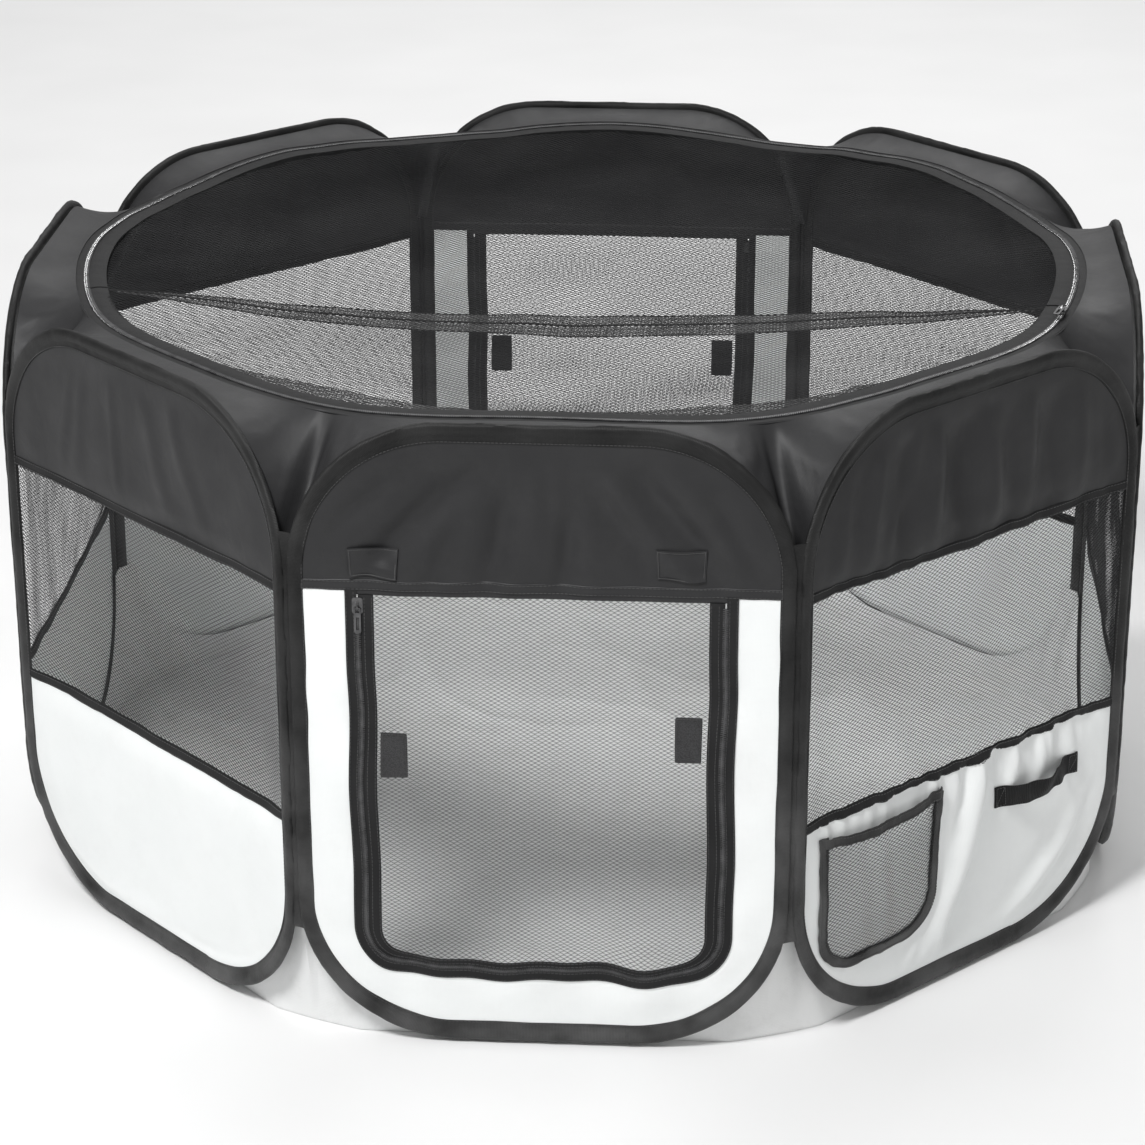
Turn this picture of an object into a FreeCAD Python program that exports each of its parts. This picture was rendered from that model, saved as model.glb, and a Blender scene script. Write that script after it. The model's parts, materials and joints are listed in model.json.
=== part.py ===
import FreeCAD, Part
import math
import os

# Pet playpen: eight soft panels in a ring, each panel a fabric and netting sheet
# held open by one closed spring-wire hoop. Millimetres, +Z up. Origin: centre of
# the pen at the underside of the floor. The front panel faces -Y.

os.makedirs("parts", exist_ok=True)
V = FreeCAD.Vector

# ------------------------------------------------------------ ring and panels
# Panels in order, counter-clockwise seen from above
NAMES = ["front", "front_right", "right", "rear_right",
         "rear", "rear_left", "left", "front_left"]
DOORS = ("front", "rear")
POCKET_PANEL = NAMES.index("front_right")
TURN = 360.0 / len(NAMES)        # angle from panel to panel
HALF_TURN_TAN = math.tan(math.radians(TURN / 2))

SIDE = 470.0                     # panel pitch, seam axis to seam axis
APOTHEM = SIDE / 2.0 / HALF_TURN_TAN
EDGE_GAP = 2.2                   # panel edge to seam axis
HALF = SIDE / 2.0 - EDGE_GAP     # half width of a panel
HEIGHT = 635.0                   # top of the panels
PANEL_Z0 = 3.0                   # underside of the panels
R_TOP = 145.0                    # outer radius of a panel's top corners
R_BOT = 150.0                    # outer radius of a panel's bottom corners
FLAT_TOP = HALF - R_TOP          # half length of the straight top
FLAT_BOT = HALF - R_BOT          # half length of the straight bottom

SLEEVE_W = 14.0                  # binding sleeve, width in the plane of the panel
SLEEVE_T = 9.0                   # binding sleeve, thickness
SLEEVE_ROUND = 3.2
WIRE_D = 4.0                     # spring wire
WIRE_INSET = 7.0                 # wire centre in from the sleeve's outer edge
TUNNEL_D = 4.8                   # tunnel in the sleeve that holds the wire
FABRIC_T = 1.2                   # coated cloth
NET_T = 0.8                      # netting
TAPE_H = 10.0                    # horizontal binding tape across a panel
TAPE_T = 3.0
GAP = 0.4                        # gap between separate sewn pieces
Z_LOW = 232.0                    # centre of the lower tape on a side panel
Z_MID = 468.0                    # centre of the upper tape on a side panel
Z_DOOR_TAPE = 476.0              # centre of the tape above a door
ON_CLOTH = FABRIC_T / 2 + 0.5    # outward level of things sewn onto the cloth

# Sizes of cutting boxes and plates, beyond every panel piece
CUT_U = 400.0
CUT_N = 60.0
CUT_TOP = 700.0
OVERCUT = 1.0                    # how far a cutter passes a face

# ------------------------------------------------------ zips and their sliders
ZIP_T = 2.4
CHAIN_GAP = 1.2                  # gap between the two zip tapes
PLATE_W, PLATE_L, PLATE_T, PLATE_ROUND = 10.0, 16.0, 1.2, 2.5
PULL_W, PULL_T, PULL_ROUND = 6.4, 1.0, 2.4
PULL_END = 27.0                  # slider centre to the pull tab's free end
EYE_W, EYE_L, EYE_END = 3.6, 3.8, 6.4     # hole round the bail
SLOT_W = 2.8                     # long hole in the pull tab
PULL_CUT = 12.0                  # depth of the cutters for both holes
BAIL_W = 1.6
# Bail arch: (height above the front plate's underside, place along the zip)
BAIL_SECTION = [(0.9, 5.4), (3.6, 3.6), (4.4, 0.0), (3.6, -3.6), (0.9, -5.4),
                (0.9, -4.0), (2.5, -2.9), (3.2, 0.0), (2.5, 2.9), (0.9, 4.0)]


# -------------------------------------------------------------------- helpers
# A panel is drawn in the XZ plane: X = u across the panel, -Y = n outward,
# Z = up, with its middle plane at n = 0, then moved and turned to place k.
def placed(shape, k, u=0.0):
    matrix = FreeCAD.Matrix()
    matrix.move(V(u, -APOTHEM, 0))
    matrix.rotateZ(math.radians(TURN * k))
    return shape.transformed(matrix)


def on_panel(k, u, n, z):
    """Point of panel k, in the pen's frame."""
    angle = math.radians(TURN * k)
    x, y = u, -(APOTHEM + n)
    return V(x * math.cos(angle) - y * math.sin(angle),
             x * math.sin(angle) + y * math.cos(angle), z)


def box(u0, u1, n0, n1, z0, z1):
    """Box in the panel frame."""
    return Part.makeBox(u1 - u0, n1 - n0, z1 - z0, V(u0, -n1, z0))


def closed_face(points):
    return Part.Face(Part.makePolygon(points + points[:1]))


def round_edges(solid, radius, axis, length):
    """Fillet the edges that span the given length along axis "X", "Y" or "Z"."""
    edges = [e for e in solid.Edges
             if abs(getattr(e.BoundBox, axis + "Length") - length) < 1e-6]
    return solid.makeFillet(radius, edges)


def slab(wire, n0, n1):
    """Solid between outward levels n0 and n1 from a wire drawn at Y = 0."""
    face = Part.Face(wire)
    face.translate(V(0, -n1, 0))
    return face.extrude(V(0, n1 - n0, 0))


def outline(half, z0, z1, r_bot, r_top):
    """Rounded rectangle wire in the plane Y = 0."""

    def line(ua, za, ub, zb):
        return Part.makeLine(V(ua, 0, za), V(ub, 0, zb))

    def arc(centre_u, centre_z, r, start):
        points = []
        for degrees in (start, start + 45, start + 90):
            angle = math.radians(degrees)
            points.append(V(centre_u + r * math.cos(angle), 0,
                            centre_z + r * math.sin(angle)))
        return Part.Arc(*points).toShape()

    return Part.Wire([
        line(-half + r_bot, z0, half - r_bot, z0),
        arc(half - r_bot, z0 + r_bot, r_bot, -90),
        line(half, z0 + r_bot, half, z1 - r_top),
        arc(half - r_top, z1 - r_top, r_top, 0),
        line(half - r_top, z1, -half + r_top, z1),
        arc(-half + r_top, z1 - r_top, r_top, 90),
        line(-half, z1 - r_top, -half, z0 + r_bot),
        arc(-half + r_bot, z0 + r_bot, r_bot, 180)])


def inset_outline(inset):
    """Panel outline, moved in from the outer edge."""
    return outline(HALF - inset, PANEL_Z0 + inset, HEIGHT - inset,
                   R_BOT - inset, R_TOP - inset)


def u_plate(half, z0, z1, r, n0, n1):
    """Plate with rounded bottom corners and a straight top edge at z1."""
    diagonal = r * math.sqrt(0.5)
    left_top, right_top = V(-half, 0, z1), V(half, 0, z1)
    left, right = V(-half, 0, z0 + r), V(half, 0, z0 + r)
    bottom_left, bottom_right = V(-half + r, 0, z0), V(half - r, 0, z0)
    mid_left = V(-half + r - diagonal, 0, z0 + r - diagonal)
    mid_right = V(half - r + diagonal, 0, z0 + r - diagonal)
    wire = Part.Wire([Part.makeLine(left_top, left),
                      Part.Arc(left, mid_left, bottom_left).toShape(),
                      Part.makeLine(bottom_left, bottom_right),
                      Part.Arc(bottom_right, mid_right, right).toShape(),
                      Part.makeLine(right, right_top),
                      Part.makeLine(right_top, left_top)])
    return slab(wire, n0, n1)


def u_strip(half, z0, z1, r, width, n0, n1):
    """U-shaped strip, open at the top edge z1."""
    inner = u_plate(half - width, z0 + width, z1, r - width, n0 - OVERCUT, n1 + OVERCUT)
    return u_plate(half, z0, z1, r, n0, n1).cut(inner)


def save(name, solids):
    shape = solids[0] if len(solids) == 1 else Part.makeCompound(solids)
    assert shape.isValid(), name
    for solid in shape.Solids:
        assert solid.Volume > 0, name
    shape.exportStep("parts/%s.step" % name)


def save_on_panel(name, k, solids, u=0.0):
    save(name, [placed(s, k, u) for s in solids])


# ------------------------------------------------------------- hoop and sleeve
def round_bar(diameter):
    """Closed round bar along the wire's path."""
    path = inset_outline(WIRE_INSET)
    circle = Part.makeCircle(diameter / 2, V(0, 0, PANEL_Z0 + WIRE_INSET), V(1, 0, 0))
    return path.makePipeShell([Part.Wire([circle])], True, True).Solids[0]


def binding_sleeve():
    level = SLEEVE_T / 2
    outer = slab(inset_outline(0.0), -level, level)
    ring = outer.cut(slab(inset_outline(SLEEVE_W), -level - OVERCUT, level + OVERCUT))
    # every edge of the outward and inward faces
    edges = [e for e in ring.Edges if abs(abs(e.CenterOfMass.y) - level) < 1e-3]
    ring = ring.makeFillet(SLEEVE_ROUND, edges)
    return ring.cut(round_bar(TUNNEL_D)).Solids[0]


# --------------------------------------------------------- cloth, net and tapes
TAB_W, TAB_H, TAB_T = 45.0, 28.0, 1.5
TAB_CORNERS = ((-176.0, 484.0), (105.0, 488.0))      # lower left corners, (u, z)


def inner_sheet(thickness):
    """Sheet that fills the panel inside its sleeve."""
    return slab(inset_outline(SLEEVE_W + GAP), -thickness / 2, thickness / 2)


def strip(sheet, z0, z1):
    return sheet.common(box(-CUT_U, CUT_U, -CUT_N, CUT_N, z0, z1))


def tape(centre_z):
    return strip(inner_sheet(TAPE_T), centre_z - TAPE_H / 2, centre_z + TAPE_H / 2).Solids


def door_tabs():
    """Stitched tabs that hold the rolled door."""
    n0 = FABRIC_T / 2 + GAP
    return [box(u, u + TAB_W, n0, n0 + TAB_T, z, z + TAB_H) for u, z in TAB_CORNERS]


hoop = round_bar(WIRE_D)
sleeve = binding_sleeve()
fabric = inner_sheet(FABRIC_T)
net = inner_sheet(NET_T)
TAPE_REACH = TAPE_H / 2 + GAP    # tape centre to the edge of the next sheet

for k, name in enumerate(NAMES):
    is_door = name in DOORS
    z_upper = Z_DOOR_TAPE if is_door else Z_MID
    tapes = tape(z_upper)
    band = strip(fabric, z_upper + TAPE_REACH, CUT_TOP).Solids
    if is_door:
        band += door_tabs()
    else:
        tapes += tape(Z_LOW)
        window = strip(net, Z_LOW + TAPE_REACH, Z_MID - TAPE_REACH)
        lower = strip(fabric, 0, Z_LOW - TAPE_REACH)
        save_on_panel("net_window_" + name, k, window.Solids)
        save_on_panel("lower_panel_" + name, k, lower.Solids)
    save_on_panel("wire_hoop_" + name, k, [hoop])
    save_on_panel("binding_" + name, k, [sleeve] + tapes)
    save_on_panel("upper_band_" + name, k, band)

# ----------------------------------------------------------------------- doors
DOOR_HALF = 178.0       # outer edge of the door zip
DOOR_Z0 = 72.0          # lowest edge of the door zip
DOOR_TOP = 468.5        # top edge of the door zip
DOOR_R = 52.0           # outer radius of the door's bottom corners
ZIP_TAPE_W = 9.0        # zip tape sewn to the surround
HEM_W = 14.0            # hem and zip tape round the door
HEM_TOP = DOOR_TOP - 1.0
HEM_IN = ZIP_TAPE_W + CHAIN_GAP          # hem's outer edge, in from the zip's
DOOR_NET_IN = HEM_IN + HEM_W + GAP       # net's edge, in from the zip's
SLIDER_U = -(DOOR_HALF - ZIP_TAPE_W - CHAIN_GAP / 2)
SLIDER_Z = 456.0        # door slider at rest, closed
SLIDER_CLEAR = 0.4      # slider plates clear of the zip tapes
POST_HALF = 0.35        # half width of the post in the chain
BACK_HALF_L = 6.0       # half length of the back plate
PATCH_W, PATCH_H, PATCH_T, PATCH_ROUND = 25.0, 46.0, 1.6, 1.5
PATCH_LEVEL = NET_T / 2 + 0.3
PATCHES = {             # centres of the patches, (u, z)
    "front": ((-138.0, 305.0), (136.0, 328.0)),
    "rear": ((-138.0, 312.0), (136.0, 312.0)),
}


def door_surround():
    cloth = strip(fabric, 0, Z_DOOR_TAPE - TAPE_REACH)
    return cloth.cut(u_plate(DOOR_HALF + GAP, DOOR_Z0 - GAP, CUT_TOP, DOOR_R + GAP, -5, 5))


def door_zip_tape():
    return u_strip(DOOR_HALF, DOOR_Z0, DOOR_TOP, DOOR_R, ZIP_TAPE_W, -ZIP_T / 2, ZIP_T / 2)


def door_hem():
    return u_strip(DOOR_HALF - HEM_IN, DOOR_Z0 + HEM_IN, HEM_TOP, DOOR_R - HEM_IN,
                   HEM_W, -ZIP_T / 2, ZIP_T / 2)


def door_net():
    return u_plate(DOOR_HALF - DOOR_NET_IN, DOOR_Z0 + DOOR_NET_IN, HEM_TOP,
                   DOOR_R - DOOR_NET_IN, -NET_T / 2, NET_T / 2)


def door_slider():
    """Front plate, post in the chain, back plate on the door's side and bail
    in one solid, with the hanging pull tab as a second."""
    u, z = SLIDER_U, SLIDER_Z
    level = ZIP_T / 2 + SLIDER_CLEAR     # underside of the front plate
    plate = box(u - PLATE_W / 2, u + PLATE_W / 2, level, level + PLATE_T,
                z - PLATE_L / 2, z + PLATE_L / 2)
    plate = round_edges(plate, PLATE_ROUND, "Y", PLATE_T)
    post = box(u - POST_HALF, u + POST_HALF, -level - 0.4, level + 0.6, z - 2, z + 5)
    back = box(u - POST_HALF, u + PLATE_W / 2, -level - PLATE_T, -level,
               z - BACK_HALF_L, z + BACK_HALF_L)
    body = plate.fuse(post).fuse(back)

    pull_level = level + 2.0
    pull = box(u - PULL_W / 2, u + PULL_W / 2, pull_level, pull_level + PULL_T,
               z - PULL_END, z - 1.2)
    pull = round_edges(pull, PULL_ROUND, "Y", PULL_T)
    pull = pull.cut(box(u - EYE_W / 2, u + EYE_W / 2, 0, PULL_CUT,
                        z - EYE_END, z - EYE_END + EYE_L))
    pull = pull.cut(box(u - SLOT_W / 2, u + SLOT_W / 2, 0, PULL_CUT, z - 23.5, z - 11))

    arch = closed_face([V(u - BAIL_W / 2, -(level + height), z + along)
                        for height, along in BAIL_SECTION])
    body = body.fuse(arch.extrude(V(BAIL_W, 0, 0)))
    return [body.removeSplitter().Solids[0], pull.Solids[0]]


def door_patch(u, z):
    """Patch on the outward side of the door net."""
    block = box(u - PATCH_W / 2, u + PATCH_W / 2, PATCH_LEVEL, PATCH_LEVEL + PATCH_T,
                z - PATCH_H / 2, z + PATCH_H / 2)
    return round_edges(block, PATCH_ROUND, "Y", PATCH_T)


door_pieces = {
    "door_surround_": door_surround().Solids,
    "door_zip_tape_": door_zip_tape().Solids,
    "door_hem_": door_hem().Solids,
    "door_net_": door_net().Solids,
    "door_slider_": door_slider(),
}
for name in DOORS:
    k = NAMES.index(name)
    for piece, solids in door_pieces.items():
        save_on_panel(piece + name, k, solids)
    save_on_panel("door_patches_" + name, k, [door_patch(u, z) for u, z in PATCHES[name]])

# ------------------------------------------------------- pocket and side strap
POCKET_U0, POCKET_U1 = -200.0, -34.0
POCKET_Z0, POCKET_Z1 = 65.0, 216.0
POCKET_MID = (POCKET_U0 + POCKET_U1) / 2
POCKET_HALF = (POCKET_U1 - POCKET_U0) / 2
POCKET_R = 48.0
POCKET_BIND_W, POCKET_BIND_T = 8.0, 4.0
POCKET_TOP_H, POCKET_TOP_T = 12.0, 2.0   # straight binding along the top
POCKET_NET_LEVEL = ON_CLOTH + 3.0
STRAP_U0, STRAP_U1 = 48.0, 168.0
STRAP_Z, STRAP_W, STRAP_T = 178.0, 22.0, 1.6
# Rise of the strap from either end: (distance from the end, height off the cloth)
STRAP_RISE = [(0.0, 0.0), (14.0, 0.0), (24.0, 5.4), (40.0, 8.0)]


def pocket_binding():
    """U-shaped binding and top binding, drawn about u = 0."""
    edge = u_strip(POCKET_HALF, POCKET_Z0, POCKET_Z1, POCKET_R, POCKET_BIND_W,
                   ON_CLOTH, ON_CLOTH + POCKET_BIND_T)
    top_level = ON_CLOTH + POCKET_BIND_T + GAP
    top = box(-POCKET_HALF, POCKET_HALF, top_level, top_level + POCKET_TOP_T,
              POCKET_Z1 - POCKET_TOP_H, POCKET_Z1)
    return edge.Solids + [top]


def pocket_net():
    """Netting inside the binding, drawn about u = 0."""
    inset = POCKET_BIND_W + GAP
    return u_plate(POCKET_HALF - inset, POCKET_Z0 + inset, POCKET_Z1 - POCKET_TOP_H - GAP,
                   POCKET_R - inset, POCKET_NET_LEVEL, POCKET_NET_LEVEL + NET_T)


def side_strap():
    """Webbing loop sewn down at both ends and standing proud between."""
    profile = [(STRAP_U0 + d, ON_CLOTH + h) for d, h in STRAP_RISE]
    profile += [(STRAP_U1 - d, ON_CLOTH + h) for d, h in reversed(STRAP_RISE)]
    z0 = STRAP_Z - STRAP_W / 2
    cloth_side = [V(u, -n, z0) for u, n in profile]
    outer_side = [V(u, -(n + STRAP_T), z0) for u, n in reversed(profile)]
    return closed_face(cloth_side + outer_side).extrude(V(0, 0, STRAP_W))


save_on_panel("pocket_binding", POCKET_PANEL, pocket_binding(), POCKET_MID)
save_on_panel("pocket_net", POCKET_PANEL, pocket_net().Solids, POCKET_MID)
save_on_panel("side_strap", POCKET_PANEL, [side_strap()])

# ---------------------------------------------- sheets that run round the ring
LINE_IN = 6.0           # collar's and gussets' edge, in from the middle plane
U_END = SIDE / 2.0 - LINE_IN * HALF_TURN_TAN
SHEET_T = 1.2           # thickness of collar and gussets
# Stations across each panel; the next panel's first station closes the last span
SAMPLE_U = [-U_END, -225, -212, -196, -178, -158, -136, -112, -88, -44, 0,
            44, 88, 112, 136, 158, 178, 196, 212, 225]


def arc_drop(u, flat, r):
    """How far a rounded corner has left the straight edge at u."""
    past = abs(u) - flat
    if past <= 0:
        return 0.0
    return r - math.sqrt(max(0.0, r * r - min(past, r) ** 2))


def closed_sheet(rows_a, rows_b):
    """Solid between two matching grids of points, each row a closed ring."""
    faces = []

    def quad(a, b, c, d):
        faces.append(closed_face([a, b, c]))
        faces.append(closed_face([a, c, d]))

    columns = len(rows_a[0])
    for j in range(columns):
        k = (j + 1) % columns
        for i in range(len(rows_a) - 1):
            quad(rows_a[i][j], rows_a[i][k], rows_a[i + 1][k], rows_a[i + 1][j])
            quad(rows_b[i][j], rows_b[i + 1][j], rows_b[i + 1][k], rows_b[i][k])
        quad(rows_a[0][k], rows_a[0][j], rows_b[0][j], rows_b[0][k])
        quad(rows_a[-1][j], rows_a[-1][k], rows_b[-1][k], rows_b[-1][j])
    solid = Part.Solid(Part.Shell(faces))
    if solid.Volume < 0:
        solid.reverse()
    return solid


def ring_sheet(row_places, point_pair):
    """Sheet from point_pair(k, u, t), the points on its two faces, for each
    t from 0 at the panels to 1 at the sheet's inner edge."""
    rows_a, rows_b = [], []
    for t in row_places:
        pairs = [point_pair(k, u, t) for k in range(len(NAMES)) for u in SAMPLE_U]
        rows_a.append([a for a, b in pairs])
        rows_b.append([b for a, b in pairs])
    return closed_sheet(rows_a, rows_b)


# -------------------------------------------------------------- collar and rim
RIM_Z = 617.0           # top opening's zip
RIM_R = 515.5           # centre line of the zip chain
RIM_TAPE_W = 11.0       # collar side of the zip
RIM_IN = RIM_R + CHAIN_GAP / 2
RIM_OUT = RIM_IN + RIM_TAPE_W
COLLAR_EDGE_R = RIM_OUT + 2.2
COLLAR_EDGE_Z = RIM_Z + 1.8
COLLAR_ROWS = (0.0, 0.35, 0.7, 1.0)
HOLLOW = 6.0            # hollow where the cloth is stretched over the notches
HOLLOW_R0, HOLLOW_RUN = 560.0, 50.0      # radius where it starts, run to full depth
STEEP_RISE = 120.0      # rise at which the lean of the thickness is full


def collar_points(k, u, t):
    top_z = HEIGHT - WIRE_INSET - arc_drop(u, FLAT_TOP, R_TOP - WIRE_INSET)
    start = on_panel(k, u, -LINE_IN, top_z)
    start_r = math.hypot(start.x, start.y)
    scale = COLLAR_EDGE_R / start_r
    end = V(start.x * scale, start.y * scale, COLLAR_EDGE_Z)
    point = start + (end - start) * t
    share = min(1.0, max(0.0, (start_r - HOLLOW_R0) / HOLLOW_RUN))
    point.z -= HOLLOW * math.sin(math.pi * t) * share
    r = math.hypot(point.x, point.y)
    steep = min(1.0, max(0.0, (end.z - start.z) / STEEP_RISE))
    under = V(-point.x / r * steep, -point.y / r * steep, -1.0).normalize() * SHEET_T
    return point, point + under


def rim_zip():
    bore = Part.makeCylinder(RIM_IN, ZIP_T + 2 * OVERCUT,
                             V(0, 0, RIM_Z - ZIP_T / 2 - OVERCUT))
    return Part.makeCylinder(RIM_OUT, ZIP_T, V(0, 0, RIM_Z - ZIP_T / 2)).cut(bore)


save("collar", [ring_sheet(COLLAR_ROWS, collar_points)])
save("rim_zip", [rim_zip()])

# ------------------------------------------------------------------------ roof
ROOF_R = RIM_R - CHAIN_GAP / 2
ROOF_HEM_W = 12.0       # roof side of the zip
ROOF_SAG = 36.0         # sag of the roof netting at its middle
SPHERE_R = (ROOF_R * ROOF_R + ROOF_SAG ** 2) / (2 * ROOF_SAG)
CHORD_Y = -135.0        # line where the roof's front flap meets its rear part
CHORD_GAP = 1.0         # half of the gap between the two roof parts
CHORD_HEM_W = 12.0
ROOF_T = 0.8
ROOF_HEM_T = 2.0


def roof_cap(thickness):
    """Sagging disc, its thickness centred on the roof surface."""
    centre_z = RIM_Z - ROOF_SAG + SPHERE_R

    def point(x, offset):
        rho = SPHERE_R + offset
        return V(x, 0, centre_z - rho * math.cos(math.asin(x / rho)))

    upper, lower = [[point(x, offset) for x in (0, ROOF_R * 0.5, ROOF_R)]
                    for offset in (-thickness / 2, thickness / 2)]
    wire = Part.Wire([Part.Arc(*upper).toShape(),
                      Part.makeLine(upper[2], lower[2]),
                      Part.Arc(*reversed(lower)).toShape(),
                      Part.makeLine(lower[0], upper[0])])
    return Part.Face(wire).revolve(V(0, 0, 0), V(0, 0, 1), 360).Solids[0]


def roof_core(radius):
    return Part.makeCylinder(radius, 400, V(0, 0, 400))


def beyond_chord(side, distance):
    """Block on one side of the chord: side -1 is front, +1 is rear."""
    if side > 0:
        y0, y1 = CHORD_Y + distance, CUT_TOP
    else:
        y0, y1 = -CUT_TOP, CHORD_Y - distance
    return Part.makeBox(2 * CUT_TOP, y1 - y0, 500, V(-CUT_TOP, y0, 350))


net_cap, hem_cap = roof_cap(ROOF_T), roof_cap(ROOF_HEM_T)
hem_core = roof_core(ROOF_R - ROOF_HEM_W)
net_core = roof_core(ROOF_R - ROOF_HEM_W - GAP)
hem_edge = CHORD_GAP + CHORD_HEM_W
for name, side in (("front", -1), ("rear", 1)):
    hem = hem_cap.common(beyond_chord(side, CHORD_GAP)).cut(
        hem_core.common(beyond_chord(side, hem_edge)))
    roof_net = net_cap.common(beyond_chord(side, hem_edge + GAP)).common(net_core)
    save("roof_hem_" + name, hem.Solids)
    save("roof_net_" + name, roof_net.Solids)

# Roof slider: on the zip at the right-hand (+X) end of the chord, drawn at
# angle 0 on the zip's circle and turned to its place.
SLIDER_ANGLE = math.degrees(math.asin(CHORD_Y / RIM_R)) - 2.4
ROOF_PLATE_Z = RIM_Z + 1.7
ROOF_BAIL_LIFT = 0.2    # roof bail stands this much higher on its plate
ROOF_PULL_Z = RIM_Z + 4.2
ROOF_PULL_L = 26.0


def roof_slider():
    """Plate with bail, and pull tab."""

    def centred_box(width, length, height, y, z):
        return Part.makeBox(width, length, height, V(RIM_R - width / 2, y, z))

    plate = centred_box(PLATE_W, PLATE_L, PLATE_T, -PLATE_L / 2, ROOF_PLATE_Z)
    plate = round_edges(plate, PLATE_ROUND, "Z", PLATE_T)
    arch = closed_face([V(RIM_R - BAIL_W / 2, along, ROOF_PLATE_Z + ROOF_BAIL_LIFT + height)
                        for height, along in BAIL_SECTION])
    plate = plate.fuse(arch.extrude(V(BAIL_W, 0, 0))).removeSplitter()

    pull = centred_box(PULL_W, ROOF_PULL_L, PULL_T, -PULL_END, ROOF_PULL_Z)
    pull = round_edges(pull, PULL_ROUND, "Z", PULL_T)
    pull = pull.cut(centred_box(EYE_W, EYE_L, PULL_CUT, -EYE_END, RIM_Z))
    pull = pull.cut(centred_box(SLOT_W, 12, PULL_CUT, -23, RIM_Z))

    turned = [plate.Solids[0].copy(), pull.Solids[0].copy()]
    for solid in turned:
        solid.rotate(V(0, 0, 0), V(0, 0, 1), SLIDER_ANGLE)
    return turned


save("roof_slider", roof_slider())

# ----------------------------------------------------------- floor and gussets
FLOOR_T = 1.5
FLOOR_IN = 14.0         # floor's edge, in from the panel's middle plane
GUSSET_N = -FLOOR_IN + 3.2       # gussets' inner edge, clear of the floor
GUSSET_Z = 1.0
GUSSET_ROWS = (0.0, 0.5, 1.0)
GUSSET_RISE = 0.8       # upward part of the thickness direction, to 1 inward
GUSSET_THIN = 0.6       # share of the thickness left at the inner edge


def floor():
    corners = [on_panel(k, u, -FLOOR_IN, 0.0)
               for k in range(len(NAMES)) for u in (-FLAT_BOT, FLAT_BOT)]
    return closed_face(corners).extrude(V(0, 0, FLOOR_T))


def floor_edge(k, u):
    """Point just outside the floor's outline for station u of panel k."""
    if abs(u) <= FLAT_BOT:
        return on_panel(k, u, GUSSET_N, GUSSET_Z)
    side = 1 if u > 0 else -1
    share = (abs(u) - FLAT_BOT) / (U_END - FLAT_BOT) * 0.5
    near = on_panel(k, side * FLAT_BOT, GUSSET_N, GUSSET_Z)
    far = on_panel(k + side, -side * FLAT_BOT, GUSSET_N, GUSSET_Z)
    return near + (far - near) * share


def gusset_points(k, u, t):
    bottom_z = PANEL_Z0 + WIRE_INSET + arc_drop(u, FLAT_BOT, R_BOT - WIRE_INSET)
    start = on_panel(k, u, -LINE_IN, bottom_z)
    point = start + (floor_edge(k, u) - start) * t
    r = math.hypot(point.x, point.y)
    inward = V(-point.x / r, -point.y / r, GUSSET_RISE).normalize() * SHEET_T
    return point, point + inward * (GUSSET_THIN if t == 1.0 else 1.0)


save("floor", [floor()])
save("floor_gussets", [ring_sheet(GUSSET_ROWS, gusset_points)])
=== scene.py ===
import bpy
import json
import math
import numpy as np
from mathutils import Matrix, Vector

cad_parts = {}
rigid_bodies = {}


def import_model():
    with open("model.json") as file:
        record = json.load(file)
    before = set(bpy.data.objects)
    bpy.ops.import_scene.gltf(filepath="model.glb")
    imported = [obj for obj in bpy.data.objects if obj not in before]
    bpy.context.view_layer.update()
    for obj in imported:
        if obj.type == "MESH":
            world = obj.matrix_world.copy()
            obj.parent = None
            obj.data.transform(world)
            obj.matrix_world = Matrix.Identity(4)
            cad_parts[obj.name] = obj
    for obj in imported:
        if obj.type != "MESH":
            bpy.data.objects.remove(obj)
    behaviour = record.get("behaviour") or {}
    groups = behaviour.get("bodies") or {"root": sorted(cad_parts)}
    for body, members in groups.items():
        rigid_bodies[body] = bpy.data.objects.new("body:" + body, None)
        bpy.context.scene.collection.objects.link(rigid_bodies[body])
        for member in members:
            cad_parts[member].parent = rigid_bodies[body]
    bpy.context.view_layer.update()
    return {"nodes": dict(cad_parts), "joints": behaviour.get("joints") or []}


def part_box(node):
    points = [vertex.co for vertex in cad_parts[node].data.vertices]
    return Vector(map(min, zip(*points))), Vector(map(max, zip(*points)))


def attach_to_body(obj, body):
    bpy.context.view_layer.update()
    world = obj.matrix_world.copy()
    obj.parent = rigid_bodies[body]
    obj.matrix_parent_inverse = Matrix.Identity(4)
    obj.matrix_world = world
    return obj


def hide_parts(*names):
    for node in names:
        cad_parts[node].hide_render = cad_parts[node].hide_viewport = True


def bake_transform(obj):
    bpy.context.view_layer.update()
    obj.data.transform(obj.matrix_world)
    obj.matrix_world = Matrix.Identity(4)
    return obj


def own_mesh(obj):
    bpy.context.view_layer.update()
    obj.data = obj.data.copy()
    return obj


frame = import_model()


def low(name):
    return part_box(name)[0]


def high(name):
    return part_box(name)[1]


# ------------------------------------------------------------------ driving sizes
NAMES = ["front", "front_right", "right", "rear_right", "rear", "rear_left", "left", "front_left"]
DOORS = (0, 4)
POCKET_PANEL = 1
FRONT_SEAM = next(j for j in frame["joints"] if j["name"] == "seam_front_to_front_right")
APOTHEM = abs(FRONT_SEAM["pos_m"][1])    # from the centre to a panel's middle plane

# a hoop is a rounded rectangle
HALF = high("binding_front").x
BOTTOM = low("binding_front").z
TOP = high("binding_front").z
MIDDLE = (BOTTOM + TOP) / 2
TOP_RADIUS = 0.145
BOTTOM_RADIUS = 0.150

# tapes across the panels, by their middle heights
TAPE_HALF = 0.0054
DOOR_TAPE_Z = low("upper_band_front").z - TAPE_HALF
SIDE_TAPE_Z = low("upper_band_right").z - TAPE_HALF
LOW_TAPE_Z = high("lower_panel_right").z + TAPE_HALF

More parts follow.
